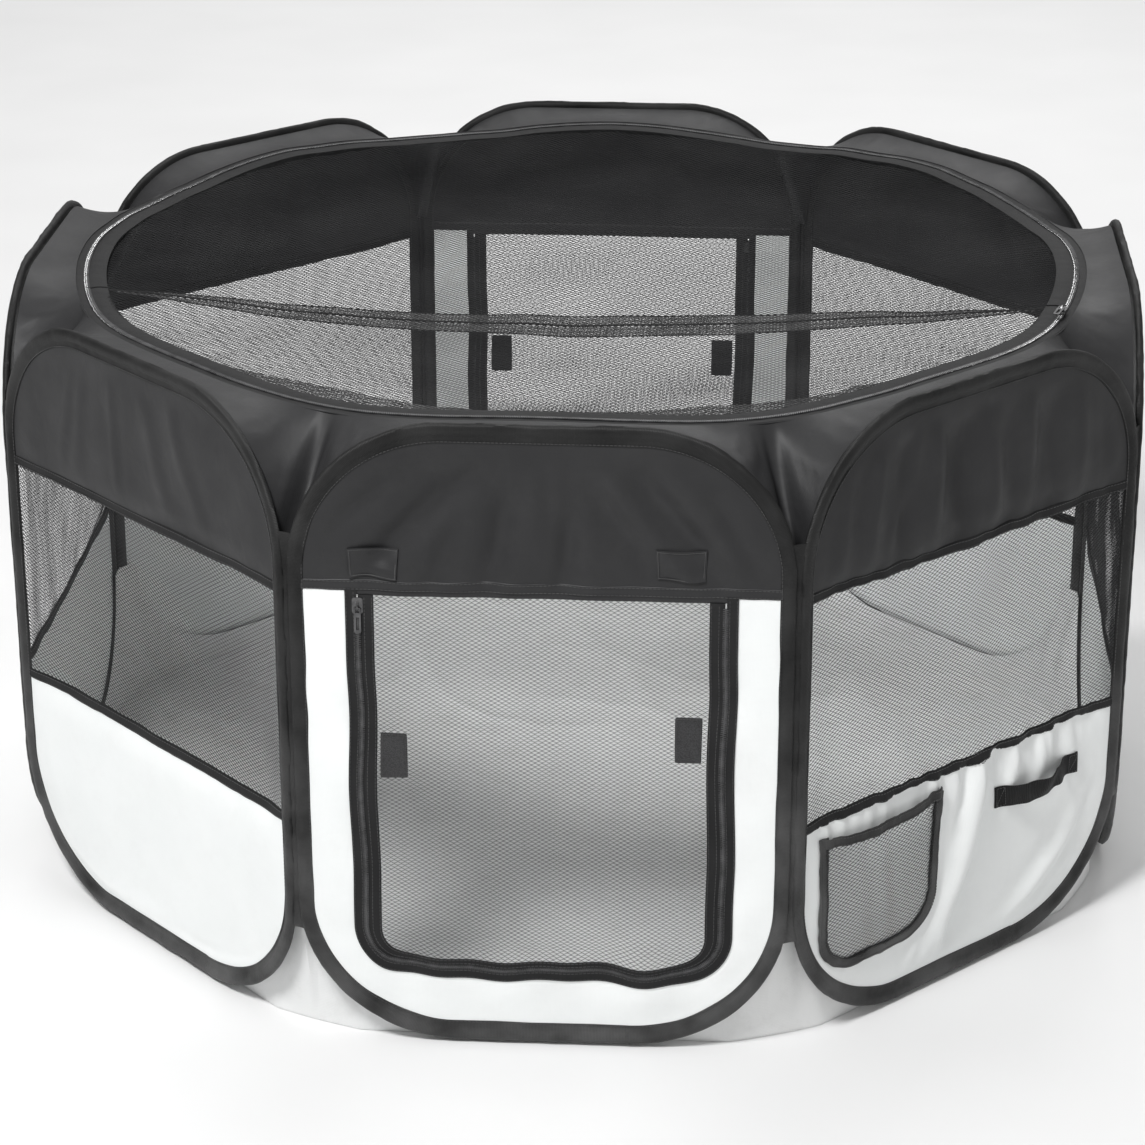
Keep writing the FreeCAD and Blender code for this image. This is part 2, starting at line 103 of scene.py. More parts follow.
# U shapes are (half width, bottom, corner radius)
DOOR_OUT = high("door_zip_tape_front").x
DOOR_BOTTOM = low("door_zip_tape_front").z
DOOR_TOP = high("door_hem_front").z
DOOR_U = (DOOR_OUT, DOOR_BOTTOM, 0.0520)
HEM_U = (DOOR_OUT - 0.0102, DOOR_BOTTOM + 0.0102, 0.0418)
CHAIN_INSET = 0.0096                     # zip chain's line inside DOOR_U
SURROUND_TOP = DOOR_TAPE_Z - 0.003

# rim, roof and floor
RIM_Z = (low("rim_zip").z + high("rim_zip").z) / 2
RIM_OUT = high("rim_zip").x
CHAIN_RADIUS = RIM_OUT - 0.0116
ROOF_RADIUS = high("roof_hem_rear").x
ROOF_SAG = RIM_Z - (low("roof_hem_rear").z + 0.001)
CHORD_Y = (high("roof_hem_front").y + low("roof_hem_rear").y) / 2
FLOOR_EDGE = high("floor").x

SLEEVE_LINE = 0.0070                     # sleeve's centre line inside the hoop's outer edge
SLEEVE_OUT = 0.0071                      # sleeve's reach outward from that line
CLOTH_INSET = 0.0122                     # cloth ends this far inside the hoop's outer edge
CLOTH_THICK = 0.0011
UP = np.array([0, 0, 1.0])


def tape_height(panel):
    return DOOR_TAPE_Z if panel in DOORS else SIDE_TAPE_Z


# ------------------------------------------------------------------ points and paths
def points(*parts):
    """Coordinates broadcast together and stacked on a last axis."""
    return np.stack(np.broadcast_arrays(*parts), -1)


def polar(radius, angle, z):
    return points(radius * np.cos(angle), radius * np.sin(angle), z)


def place(panel, x, y, z):
    """World points of a flat panel."""
    turn = math.radians(45.0 * panel)
    cos, sin = math.cos(turn), math.sin(turn)
    y = -(APOTHEM + y)
    return points(x * cos - y * sin, x * sin + y * cos, z)


def in_plane(panel, path):
    """World directions of (x, z) directions in a panel's plane."""
    return place(panel, path[:, 0], 0.0, path[:, 1]) - place(panel, 0.0, 0.0, 0.0)


def outward(panel):
    turn = math.radians(45.0 * panel)
    return np.array([math.sin(turn), -math.cos(turn), 0.0])


def across(panel):
    turn = math.radians(45.0 * panel)
    return np.array([math.cos(turn), math.sin(turn), 0.0])


def unit(vectors):
    return vectors / np.maximum(np.linalg.norm(vectors, axis=-1, keepdims=True), 1e-9)


def arc_lengths(path):
    return np.concatenate([[0], np.cumsum(np.linalg.norm(np.diff(path, axis=0), axis=1))])


def along(path, at, lengths):
    """Points of a polyline at the given lengths."""
    return np.stack([np.interp(at, lengths, path[:, i]) for i in range(path.shape[1])], -1)


def closed(path):
    return np.concatenate([path, path[:1]])


def corner(centre_x, centre_z, radius, start, steps):
    angle = np.radians(np.linspace(start, start + 90, steps))
    return points(centre_x + radius * np.cos(angle), centre_z + radius * np.sin(angle))


def right_of(tangents):
    """Unit normals on the right of a path: outward where it runs counterclockwise."""
    tangents = unit(tangents)
    return points(tangents[:, 1], -tangents[:, 0])


def outline(inset, count):
    """The hoop's outline, inset: points (x, z), outward normals and lengths."""
    half, bottom, top = HALF - inset, BOTTOM + inset, TOP - inset
    lower, upper = BOTTOM_RADIUS - inset, TOP_RADIUS - inset
    path = closed(np.concatenate([
        corner(half - lower, bottom + lower, lower, -90, 40),
        corner(half - upper, top - upper, upper, 0, 40),
        corner(-half + upper, top - upper, upper, 90, 40),
        corner(-half + lower, bottom + lower, lower, 180, 40)]))
    lengths = arc_lengths(path)
    at = np.arange(count) * lengths[-1] / count
    path = along(path, at, lengths)
    return path, right_of(np.roll(path, -1, 0) - np.roll(path, 1, 0)), at


def u_path(shape, top, count, inset=0.0, low_share=1.0):
    """A U from its left top round to its right top: points (x, z), outward normals, lengths.

    low_share is the part of the inset that the bottom takes."""
    half, bottom, radius = shape
    half = half - inset
    bottom = bottom + inset * low_share
    radius = radius - inset * (1 + low_share) / 2
    path = np.concatenate([[[-half, top]],
                           corner(-half + radius, bottom + radius, radius, 180, 30),
                           corner(half - radius, bottom + radius, radius, 270, 30),
                           [[half, top]]])
    lengths = arc_lengths(path)
    at = np.linspace(0, lengths[-1], count)
    path = along(path, at, lengths)
    return path, right_of(np.gradient(path, axis=0)), at


def in_u(x, z, shape, top):
    half, bottom, radius = shape
    x = np.abs(x)
    in_corner = (x > half - radius) & (z < bottom + radius)
    in_circle = np.hypot(x - (half - radius), z - (bottom + radius)) < radius
    return (x < half) & (z > bottom) & (z < top) & (~in_corner | in_circle)


def corner_drop(beyond, radius):
    """How far a round corner falls away, beyond the end of the straight."""
    beyond = np.clip(beyond, 0, radius)
    return radius - np.sqrt(np.maximum(radius * radius - beyond * beyond, 0))


def half_width(z, inset):
    """Half width of the inset outline at height z."""
    lower, upper = BOTTOM_RADIUS - inset, TOP_RADIUS - inset
    return (HALF - inset - corner_drop(z - (TOP - inset - upper), upper)
            - corner_drop(BOTTOM + inset + lower - z, lower))


def corner_offsets(x, z):
    """Corner radius, and how far a point lies past the corner centres in x and z."""
    radius = np.where(z > MIDDLE, TOP_RADIUS, BOTTOM_RADIUS)
    return (radius, np.abs(x) - (HALF - radius),
            np.abs(z - MIDDLE) - ((TOP - BOTTOM) / 2 - radius))


def inset_of(x, z):
    """How far inside the hoop's outer edge a point lies."""
    radius, past_x, past_z = corner_offsets(x, z)
    return radius - (np.hypot(np.maximum(past_x, 0), np.maximum(past_z, 0))
                     + np.minimum(np.maximum(past_x, past_z), 0))


def edge_direction(x, z):
    """The z part of the direction from a point to the nearest stretch of hoop."""
    _, past_x, past_z = corner_offsets(x, z)
    over_x, over_z = np.maximum(past_x, 0), np.maximum(past_z, 0)
    part = over_z / np.maximum(np.hypot(over_x, over_z), 1e-9)
    inner = np.where(past_z > past_x, 1.0, 0.0)
    return np.sign(z - MIDDLE) * np.where((past_x > 0) | (past_z > 0), part, inner)


def sleeve_width(up_part):
    """The sleeve is broad along top and bottom; up_part is the z part of its normal."""
    return (0.0150 + 0.0042 * np.clip(up_part, 0, 1) ** 1.5
            + 0.0054 * np.clip(-up_part, 0, 1) ** 1.5)


# ------------------------------------------------------------------ smooth functions
def hermite(t):
    return t * t * (3 - 2 * t)


def ramp_up(start, end, x):
    """0 at start and 1 at end, smooth between."""
    return hermite(np.clip((x - start) / (end - start), 0, 1))


def bell(x):
    return np.exp(-x ** 2)


def noise1(x, seed):
    """Smooth 1-D value noise in [-1, 1]."""
    table = np.random.default_rng(seed).uniform(-1, 1, 4096)
    x = x + 1000.0
    i = np.floor(x).astype(int)
    part = hermite(x - i)
    return table[i % 4096] * (1 - part) + table[(i + 1) % 4096] * part


def noise2(x, y, seed):
    """Smooth 2-D value noise in [-1, 1]."""
    table = np.random.default_rng(seed).uniform(-1, 1, (256, 256))
    x = x + 500.0
    y = y + 500.0
    i, j = np.floor(x).astype(int), np.floor(y).astype(int)
    part_x, part_y = hermite(x - i), hermite(y - j)

    def row(j):
        return (table[i % 256, j % 256] * (1 - part_x)
                + table[(i + 1) % 256, j % 256] * part_x)
    return row(j) * (1 - part_y) + row(j + 1) * part_y


# ------------------------------------------------------------------ mesh makers
def make(name, verts, faces, uv=None, material=None, angle=None):
    """Object from vertices, lists of faces and a UV per vertex.

    It is smooth up to the sharp angle in degrees, or flat without one."""
    verts = np.asarray(verts, np.float32).reshape(-1, 3)
    faces = [np.asarray(group, np.int32) for group in faces]
    corners = np.concatenate([group.ravel() for group in faces])
    totals = np.concatenate([np.full(len(group), group.shape[1], np.int32) for group in faces])
    starts = np.concatenate([[0], np.cumsum(totals)[:-1]]).astype(np.int32)
    mesh = bpy.data.meshes.new(name)
    mesh.vertices.add(len(verts))
    mesh.vertices.foreach_set("co", verts.ravel())
    mesh.loops.add(len(corners))
    mesh.loops.foreach_set("vertex_index", corners)
    mesh.polygons.add(len(totals))
    mesh.polygons.foreach_set("loop_start", starts)
    mesh.polygons.foreach_set("loop_total", totals)
    if uv is not None:
        layer = mesh.uv_layers.new(name="cloth")
        layer.data.foreach_set("uv", np.asarray(uv, np.float32)[corners].ravel())
    mesh.update(calc_edges=True)
    mesh.polygons.foreach_set("use_smooth", np.full(len(totals), angle is not None))
    if angle is not None:
        mesh.set_sharp_from_angle(angle=math.radians(angle))
    ob = bpy.data.objects.new(name, mesh)
    bpy.context.scene.collection.objects.link(ob)
    if material is not None:
        mesh.materials.append(material)
    return ob


def turned(faces, turn):
    return faces[:, ::-1] if turn else faces


def faces_away(verts, face, direction):
    """Whether a face's normal points against a direction."""
    normal = np.cross(verts[face[1]] - verts[face[0]], verts[face[2]] - verts[face[0]])
    return (normal * direction).sum() < 0


def grid_faces(rows, columns, wrap):
    i = np.arange(rows - 1)[:, None]
    j = np.arange(columns if wrap else columns - 1)[None, :]
    nxt = (j + 1) % columns
    return points(i * columns + j, i * columns + nxt,
                  (i + 1) * columns + nxt, (i + 1) * columns + j).reshape(-1, 4)


def grid_normals(grid, wrap):
    if wrap:
        over = np.roll(grid, -1, 1) - np.roll(grid, 1, 1)
    else:
        over = np.gradient(grid, axis=1)
    return unit(np.cross(over, np.gradient(grid, axis=0)))


def solid_grid(name, grid, thick, uv, material, towards, wrap=False):
    """Closed sheet of cloth about a grid of points; its first side faces towards."""
    rows, columns = grid.shape[:2]
    count = rows * columns
    normals = grid_normals(grid, wrap)
    if (normals * towards).sum() < 0:
        normals = -normals
    front = (grid + normals * thick / 2).reshape(-1, 3)
    back = (grid - normals * thick / 2).reshape(-1, 3)
    quads = grid_faces(rows, columns, wrap)
    middle = quads[len(quads) // 2]
    flip = faces_away(front, middle, normals.reshape(-1, 3)[middle[0]])
    faces = [turned(quads, flip), turned(quads, not flip) + count]
    index = np.arange(count).reshape(rows, columns)
    borders = [(index[0], not flip), (index[-1], flip)]
    if not wrap:
        borders += [(index[:, 0], flip), (index[:, -1], not flip)]
    for line, turn in borders:
        nxt = np.roll(line, -1)
        wall = np.stack([line, nxt, nxt + count, line + count], -1)
        faces.append(turned(wall if wrap else wall[:-1], turn))
    uv = uv.reshape(-1, 2)
    return make(name, np.concatenate([front, back]), faces, np.concatenate([uv, uv]),
                material, 50)


def sweep(name, centres, axis_a, axis_b, section, material, loop=False):
    """Tube along centres; its section, one or one per centre, lies on axes a and b."""
    count = len(centres)
    axis_a, axis_b = (np.broadcast_to(axis, centres.shape) for axis in (axis_a, axis_b))
    size = section.shape[-2]
    section = np.broadcast_to(section, (count, size, 2))
    verts = (centres[:, None] + axis_a[:, None] * section[..., 0:1]
             + axis_b[:, None] * section[..., 1:2]).reshape(-1, 3)
    uv = points(arc_lengths(centres)[:, None], arc_lengths(section[0])[None, :]).reshape(-1, 2)
    i = np.arange(count if loop else count - 1)[:, None]
    j = np.arange(size)[None, :]
    next_i, next_j = (i + 1) % count, (j + 1) % size
    quads = points(i * size + j, next_i * size + j,
                   next_i * size + next_j, i * size + next_j).reshape(-1, 4)
    face = quads[len(quads) // 2]
    flip = faces_away(verts, face, verts[face].mean(0) - centres[face[0] // size])
    faces = [turned(quads, flip)]
    if not loop:
        hubs = [centres[end] + axis_a[end] * section[end][:, 0].mean()
                + axis_b[end] * section[end][:, 1].mean() for end in (0, -1)]
        first = np.arange(size)
        last = first + (count - 1) * size
        hub = np.full(size, len(verts))
        faces += [turned(np.stack([hub, first, np.roll(first, -1)], -1), flip),
                  turned(np.stack([hub + 1, np.roll(last, -1), last], -1), flip)]
        verts = np.concatenate([verts, hubs])
        uv = np.concatenate([uv, uv[:1], uv[-1:]])
    return make(name, verts, faces, uv, material, 50)


def flat_section(half, thick, power):
    """Flattened superellipse of 16 points, by half width and half thickness."""
    angle = 2 * math.pi * np.arange(16) / 16
    cos, sin = np.cos(angle), np.sin(angle)
    # the exact zeros and units keep the section's four tips on its axes
    cos[[4, 12]], sin[[0, 8]] = (math.cos(math.pi / 2), math.cos(3 * math.pi / 2)), (
        0.0, math.sin(math.pi))
    return points(np.sign(cos) * np.abs(cos) ** (2 / power) * half,
                  np.sign(sin) * np.abs(sin) ** (2 / power) * thick)


def tooth_shape():
    """An octagonal bar with tapered ends: unit points and faces."""
    ring = ((1, .45), (.45, 1), (-.45, 1), (-1, .45), (-1, -.45), (-.45, -1), (.45, -1), (1, -.45))
    shape = [(t, a * scale, b * scale)
             for t, scale in ((-1, .55), (-.62, 1), (.62, 1), (1, .55)) for a, b in ring]
    quads = [(r * 8 + j, r * 8 + (j + 1) % 8, (r + 1) * 8 + (j + 1) % 8, (r + 1) * 8 + j)
             for r in range(3) for j in range(8)]
    quads += [(3, 2, 1, 0), (4, 3, 0, 7), (6, 5, 4, 7),
              (24, 25, 26, 27), (31, 24, 27, 28), (31, 28, 29, 30)]
    return np.array(shape), np.array(quads)


def stitch_shape():
    """A square-ended bar: unit points and faces."""
    shape = [(x, y * 0.9, z * 0.9) for x in (-1, 1) for y in (-1, 1) for z in (-1, 1)]
    quads = [(0, 1, 3, 2), (4, 6, 7, 5), (0, 4, 5, 1), (2, 3, 7, 6), (0, 2, 6, 4), (1, 5, 7, 3)]
    return np.array(shape), np.array(quads)


TOOTH = tooth_shape()
STITCH = stitch_shape()


def bars(name, centres, axes, half_sizes, form, material, uv_step, angle):
    """Many small bars of one form, each with its own three axes."""
    shape, quads = form
    count = len(centres)
    half_sizes = np.broadcast_to(half_sizes, (count, 3))
    verts = centres[:, None]
    for i, axis in enumerate(axes):
        verts = verts + axis[:, None] * (shape[None, :, i:i + 1] * half_sizes[:, None, i:i + 1])
    faces = (quads[None] + (np.arange(count) * len(shape))[:, None, None]).reshape(-1, 4)
    left_handed = np.linalg.det(np.stack([axis[0] for axis in axes])) < 0
    uv = np.zeros((len(shape) * count, 2))
    uv[:, 0] = np.repeat(np.arange(count) * uv_step, len(shape))
    return make(name, verts, [turned(faces, left_handed)], uv, material, angle)


# ------------------------------------------------------------------ materials
def rgba(colour):
    return (*colour, 1) if isinstance(colour, tuple) else (colour, colour, colour, 1)


class Shader:
    """A Principled material and the nodes that feed it."""

    def __init__(self, name):
        self.material = bpy.data.materials.new(name)
        self.material.use_nodes = True
        self.tree = self.material.node_tree
        self.position = self.node("TexCoord").outputs["Object"]

    def fill(self, node, inputs):
        """Links sockets and sets plain values."""
        for key, value in inputs.items():
            if isinstance(value, bpy.types.NodeSocket):
                self.tree.links.new(value, node.inputs[key])
            else:
                node.inputs[key].default_value = value

    def node(self, kind, inputs={}, **settings):
        node = self.tree.nodes.new("ShaderNode" + kind)
        for key, value in settings.items():
            setattr(node, key, value)
        self.fill(node, inputs)
        return node

    def noise(self, scale, detail=2.0, roughness=0.5, distortion=0.0):
        return self.node("TexNoise", {
            "Vector": self.position, "Scale": scale, "Detail": detail,
            "Roughness": roughness, "Distortion": distortion}).outputs["Fac"]

    def wave(self, uv, direction, pitch, distortion, detail):
        """Bands that repeat each pitch along a UV direction."""
        return self.node("TexWave", {
            "Vector": uv, "Scale": (2 * math.pi / 20.0) / pitch, "Distortion": distortion,
            "Detail": detail}, wave_type="BANDS", bands_direction=direction,
            wave_profile="SIN").outputs["Fac"]

    def uv(self):
        return self.node("UVMap", uv_map="cloth").outputs["UV"]

    def ramp(self, factor, *stops):
        """Two stops, each a position and a grey or a colour."""
        node = self.node("ValToRGB", {"Fac": factor})
        for element, (position, colour) in zip(node.color_ramp.elements, stops):
            element.position = position
            element.color = rgba(colour)
        return node.outputs["Color"]

    def math(self, operation, first, second):
        return self.node("Math", {0: first, 1: second}, operation=operation).outputs[0]

    def mix(self, factor, first, second, blend="MIX"):
        return self.node("Mix", {0: factor, 6: first, 7: second},
                         data_type="RGBA", blend_type=blend).outputs[2]

    def remap(self, value, to, start=(0.0, 1.0), interpolation="LINEAR"):
        return self.node("MapRange", {
            "Value": value, "From Min": start[0], "From Max": start[1],
            "To Min": to[0], "To Max": to[1]},
            interpolation_type=interpolation).outputs["Result"]

    def bump(self, height, strength, distance, under=None):
        inputs = {"Height": height, "Strength": strength, "Distance": distance}
        if under is not None:
            inputs["Normal"] = under
        return self.node("Bump", inputs).outputs["Normal"]

    def surface(self, **inputs):
        """Sets the surface; an underscore stands for a space. Returns the material."""
        self.fill(self.tree.nodes["Principled BSDF"],
                  {key.replace("_", " "): value for key, value in inputs.items()})
        return self.material


def woven(name, dark, light, roughness, weave, crumple, crumple_scale, dust, dust_amount,
          specular):
    """Woven cloth: thread bump on metre UVs, crumple and colour drift in space."""
    thread = 0.0006
    shader = Shader(name)
    uv = shader.uv()
    drift = shader.noise(scale=5.0, detail=5, roughness=0.6)
    colour = shader.ramp(drift, (0.3, dark), (0.7, light))
    weft, warp_ = (shader.wave(uv, direction, 2 * thread, distortion=0.4, detail=1.0)
                   for direction in "XY")
    height = shader.math("MAXIMUM", weft, warp_)
    shade = shader.ramp(height, (0.0, 0.72), (1.0, 1.1))
    colour = shader.mix(0.35 * min(1.0, weave * 2), colour, shade, "MULTIPLY")
    specks = shader.ramp(shader.noise(scale=26, detail=9, roughness=0.72), (0.5, 0), (0.78, 1))
    colour = shader.mix(shader.math("MULTIPLY", specks, dust_amount), colour, rgba(dust))
    gloss = shader.remap(shader.noise(scale=18, detail=6), roughness, start=(0.3, 0.7))
    threads = shader.bump(height, weave, thread * 0.35)
    crumples = shader.noise(crumple_scale, detail=4, roughness=0.5, distortion=0.6)
    normal = shader.bump(crumples, crumple, 0.0012, threads)
    return shader.surface(Base_Color=colour, Roughness=gloss, Normal=normal,
                          Specular_IOR_Level=specular)


def ribbed(name, dark, light, pitch, roughness, specular, bump=0.5, painted_height_light=None):
    """Tape or webbing with ribs across its length. Its optional last argument is its lightness low
    and high up: painted bounce light from the floor low down, painted shade high up.
    """
    shader = Shader(name)
    ribs = shader.wave(shader.uv(), "X", pitch, distortion=0.8, detail=2)
    drift = shader.noise(scale=14, detail=6)
    colour = shader.ramp(drift, (0.32, dark), (0.68, light))
    colour = shader.mix(0.45, colour, shader.ramp(ribs, (0, 0.6), (1, 1.15)), "MULTIPLY")
    # painted light by height: lighter low down as painted floor bounce light, darker high up as
    # painted shade
    if painted_height_light:
        height = shader.node("SeparateXYZ", {0: shader.position}).outputs["Z"]
        lightness = shader.remap(height, painted_height_light, start=(0.06, 0.44), interpolation="SMOOTHSTEP")
        colour = shader.node("VectorMath", {0: colour, "Scale": lightness},
                             operation="SCALE").outputs["Vector"]
    normal = shader.bump(shader.noise(scale=90, detail=4), strength=0.7, distance=0.0012,
                         under=shader.bump(ribs, bump, pitch * 0.3))
    return shader.surface(Base_Color=colour, Roughness=shader.remap(drift, roughness),
                          Normal=normal, Specular_IOR_Level=specular, Sheen_Roughness=0.4)


def strand(name, dark, light, roughness, scale, specular=0.4, metallic=0.0):
    """Knitted strand, sewing thread, moulded coil or plated metal."""
    shader = Shader(name)
    drift = shader.noise(scale, detail=4)
    colour = shader.ramp(drift, (0.35, dark), (0.65, light))
    normal = shader.bump(shader.noise(scale=900), strength=0.25, distance=0.0002)
    return shader.surface(Base_Color=colour, Roughness=shader.remap(drift, roughness),
                          Normal=normal, Metallic=metallic, Specular_IOR_Level=specular)


def hook_patch():
    shader = Shader("hook_patch")
    cells = shader.node("TexVoronoi", {"Vector": shader.position,
                                       "Scale": 900}).outputs["Distance"]
    colour = shader.ramp(cells, (0.1, (0.03, 0.03, 0.032)), (0.7, (0.006, 0.006, 0.007)))
    return shader.surface(Base_Color=colour, Roughness=shader.remap(cells, (0.75, 0.95)),
                          Normal=shader.bump(cells, strength=0.9, distance=0.0005),
                          Sheen_Weight=0.4)


BLACK = woven("black_cloth", dark=(0.0185, 0.0185, 0.0195), light=(0.0255, 0.0255, 0.0265),
              roughness=(0.42, 0.56), weave=0.25, crumple=0.5, crumple_scale=42,
              dust=(0.08, 0.08, 0.078), dust_amount=0.10, specular=0.28)
WHITE = woven("white_cloth", dark=(0.80, 0.82, 0.815), light=(0.86, 0.875, 0.87),
              roughness=(0.55, 0.75), weave=0.2, crumple=0.35, crumple_scale=38,
              dust=(0.55, 0.54, 0.52), dust_amount=0.10, specular=0.3)
FLOOR = woven("floor_cloth", dark=(0.74, 0.75, 0.75), light=(0.81, 0.815, 0.81),
              roughness=(0.5, 0.7), weave=0.3, crumple=0.6, crumple_scale=26,
              dust=(0.38, 0.37, 0.35), dust_amount=0.22, specular=0.35)
# the binding is painted lighter near the ground and darker high up, as bounce light and shade
BINDING = ribbed("black_binding", dark=0.010, light=0.058, pitch=0.0014,
                 roughness=(0.40, 0.56), specular=0.24, painted_height_light=(1.7, 0.42))
TAPE = ribbed("zip_tape_cloth", dark=(0.010, 0.010, 0.0105), light=(0.020, 0.020, 0.0205),
              pitch=0.0012, roughness=(0.5, 0.7), specular=0.2)
WEBBING = ribbed("webbing", dark=0.010, light=(0.020, 0.020, 0.021), pitch=0.0022,
                 roughness=(0.5, 0.7), specular=0.2, bump=0.9)
NETTING = strand("netting", dark=(0.020, 0.020, 0.021), light=(0.034, 0.034, 0.035),
                 roughness=(0.5, 0.65), scale=8.0, specular=0.15)
# the doubled netting is the same black knit, painted light grey as a painted sheen of light on its
# strands
DOUBLED_NETTING_PAINTED_SHEEN = strand("doubled_netting_painted_sheen", dark=0.10, light=0.19, roughness=(0.5, 0.65), scale=30.0,
                 specular=0.2)
THREAD = strand("black_thread", dark=(0.036, 0.036, 0.037), light=0.066,
                roughness=(0.35, 0.5), scale=60.0)
COIL = strand("zip_coil", dark=(0.022, 0.022, 0.023), light=(0.060, 0.060, 0.062),
              roughness=(0.14, 0.26), scale=70.0, specular=0.9)
METAL = strand("slider_metal", dark=(0.070, 0.070, 0.072), light=(0.130, 0.130, 0.132),
               roughness=(0.24, 0.4), scale=120.0, metallic=0.9)
WIRE = strand("spring_wire", dark=(0.42, 0.43, 0.44), light=(0.56, 0.57, 0.58),
              roughness=(0.3, 0.45), scale=40.0, metallic=1.0)
HOOK = hook_patch()


def attach(ob, body, slot, *nodes):
    """Carries a piece on a body and hides the frame's nodes it replaces; slot is not used."""
    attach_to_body(ob, body)
    if nodes:
        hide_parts(*nodes)


def attach_ring(ob, body, slot, *nodes):
    """The same for ring-wide cloth, which also gets a mesh of its own."""
    attach(ob, body, slot, *nodes)
    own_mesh(ob)


# ------------------------------------------------------------------ folds of the panels
GRID_X = np.linspace(-0.236, 0.236, 119)
GRID_Z = np.linspace(0.0, 0.64, 161)
MESH_X, MESH_Z = np.meshgrid(GRID_X, GRID_Z)
FOLDS = np.zeros((8,) + MESH_X.shape + (3,))    # x, y and z moves of each panel's cloth
# how far each point lies clear of the sleeve, and the folds' fade towards it
CLEAR = inset_of(MESH_X, MESH_Z) - sleeve_width(edge_direction(MESH_X, MESH_Z))
EDGE = ramp_up(0.0, 0.030, CLEAR)

# folds: x and z of one end, x and z of the other, width, height
FRONT_BAND = (      # broad folds, mostly leaning towards the middle as they rise
    (-0.172, 0.484, -0.050, 0.598, 0.015, -0.00874), (-0.215, 0.510, -0.110, 0.600, 0.012, -0.00418),
    (-0.052, 0.470, -0.028, 0.575, 0.013, -0.00798), (0.018, 0.470, 0.028, 0.552, 0.011, -0.00608),
    (0.172, 0.472, 0.080, 0.602, 0.015, -0.00874), (0.104, 0.488, 0.040, 0.588, 0.012, -0.00570),
    (-0.110, 0.474, -0.070, 0.540, 0.010, -0.00418), (0.205, 0.490, 0.150, 0.575, 0.011, -0.00456))
POCKET_BAND = (     # near-vertical folds of the pocket panel's band: x, height, width
    (-0.185, 0.00312, 0.010), (-0.145, 0.00442, 0.011), (-0.105, -0.00520, 0.011),
    (-0.060, 0.00468, 0.012), (-0.022, -0.00572, 0.012), (0.025, 0.00416, 0.012),
    (0.070, 0.00312, 0.011), (0.110, -0.00416, 0.012), (0.152, 0.00312, 0.010),
    (0.190, -0.00260, 0.010))
POCKET_LOWER = (    # the cloth below its lower tape
    (0.004, 0.230, -0.010, 0.150, 0.0055, -0.0032),
    (0.184, 0.122, 0.064, 0.026, 0.010, 0.0052), (0.168, 0.078, 0.100, 0.024, 0.0065, 0.0034),
    (0.205, 0.150, 0.135, 0.045, 0.006, -0.0022), (-0.060, 0.062, -0.070, 0.020, 0.007, 0.0026),
    (-0.190, 0.070, -0.150, 0.022, 0.009, 0.0024), (-0.020, 0.060, -0.032, 0.018, 0.006, 0.0030),
    (0.120, 0.226, 0.105, 0.160, 0.009, 0.0036), (0.080, 0.226, 0.060, 0.150, 0.008, 0.0038),
    (0.160, 0.226, 0.170, 0.150, 0.008, 0.0026))


def ridge(x1, z1, x2, z2, width, height):
    """A soft fold of cloth from one point to another, over the fold grid."""
    run, rise = x2 - x1, z2 - z1
    length = math.hypot(run, rise)
    t = ((MESH_X - x1) * run + (MESH_Z - z1) * rise) / length ** 2
    off = ((MESH_X - x1) * rise - (MESH_Z - z1) * run) / length
    off = off + 0.15 * width * np.sin(t * 7 + x1 * 90)
    fade = np.clip(1 - np.abs(2 * t - 1) ** 3, 0, 1)
    return height * fade * (bell(off / width) - 0.4 * bell((off - 1.9 * width) / (1.3 * width)))


def base_folds(panel):
    """Loose waves everywhere, and long folds in the taut upper band."""
    seed = 40 + 7 * panel
    tape_z = tape_height(panel)
    move = (0.0022 * noise2(MESH_X * 9, MESH_Z * 9, seed)
            + 0.0008 * noise2(MESH_X * 26, MESH_Z * 20, seed + 1))
    band = ramp_up(tape_z, tape_z + 0.03, MESH_Z)
    if panel not in DOORS:
        lower = 1 - ramp_up(LOW_TAPE_Z - 0.03, LOW_TAPE_Z, MESH_Z)
        net = (1 - band) * (1 - lower)
        move += net * (0.0018 * noise2(MESH_X * 14, MESH_Z * 5, seed + 2) - 0.002)
    draw = np.random.default_rng(900 + panel).uniform
    for i in range(5):
        x = draw(-0.17, 0.17)
        move += band * ridge(x, tape_z + 0.01, x * 0.6 + draw(-0.03, 0.03), 0.61,
                             draw(0.006, 0.012), draw(0.0008, 0.0018))
    FOLDS[panel][..., 1] = move * EDGE


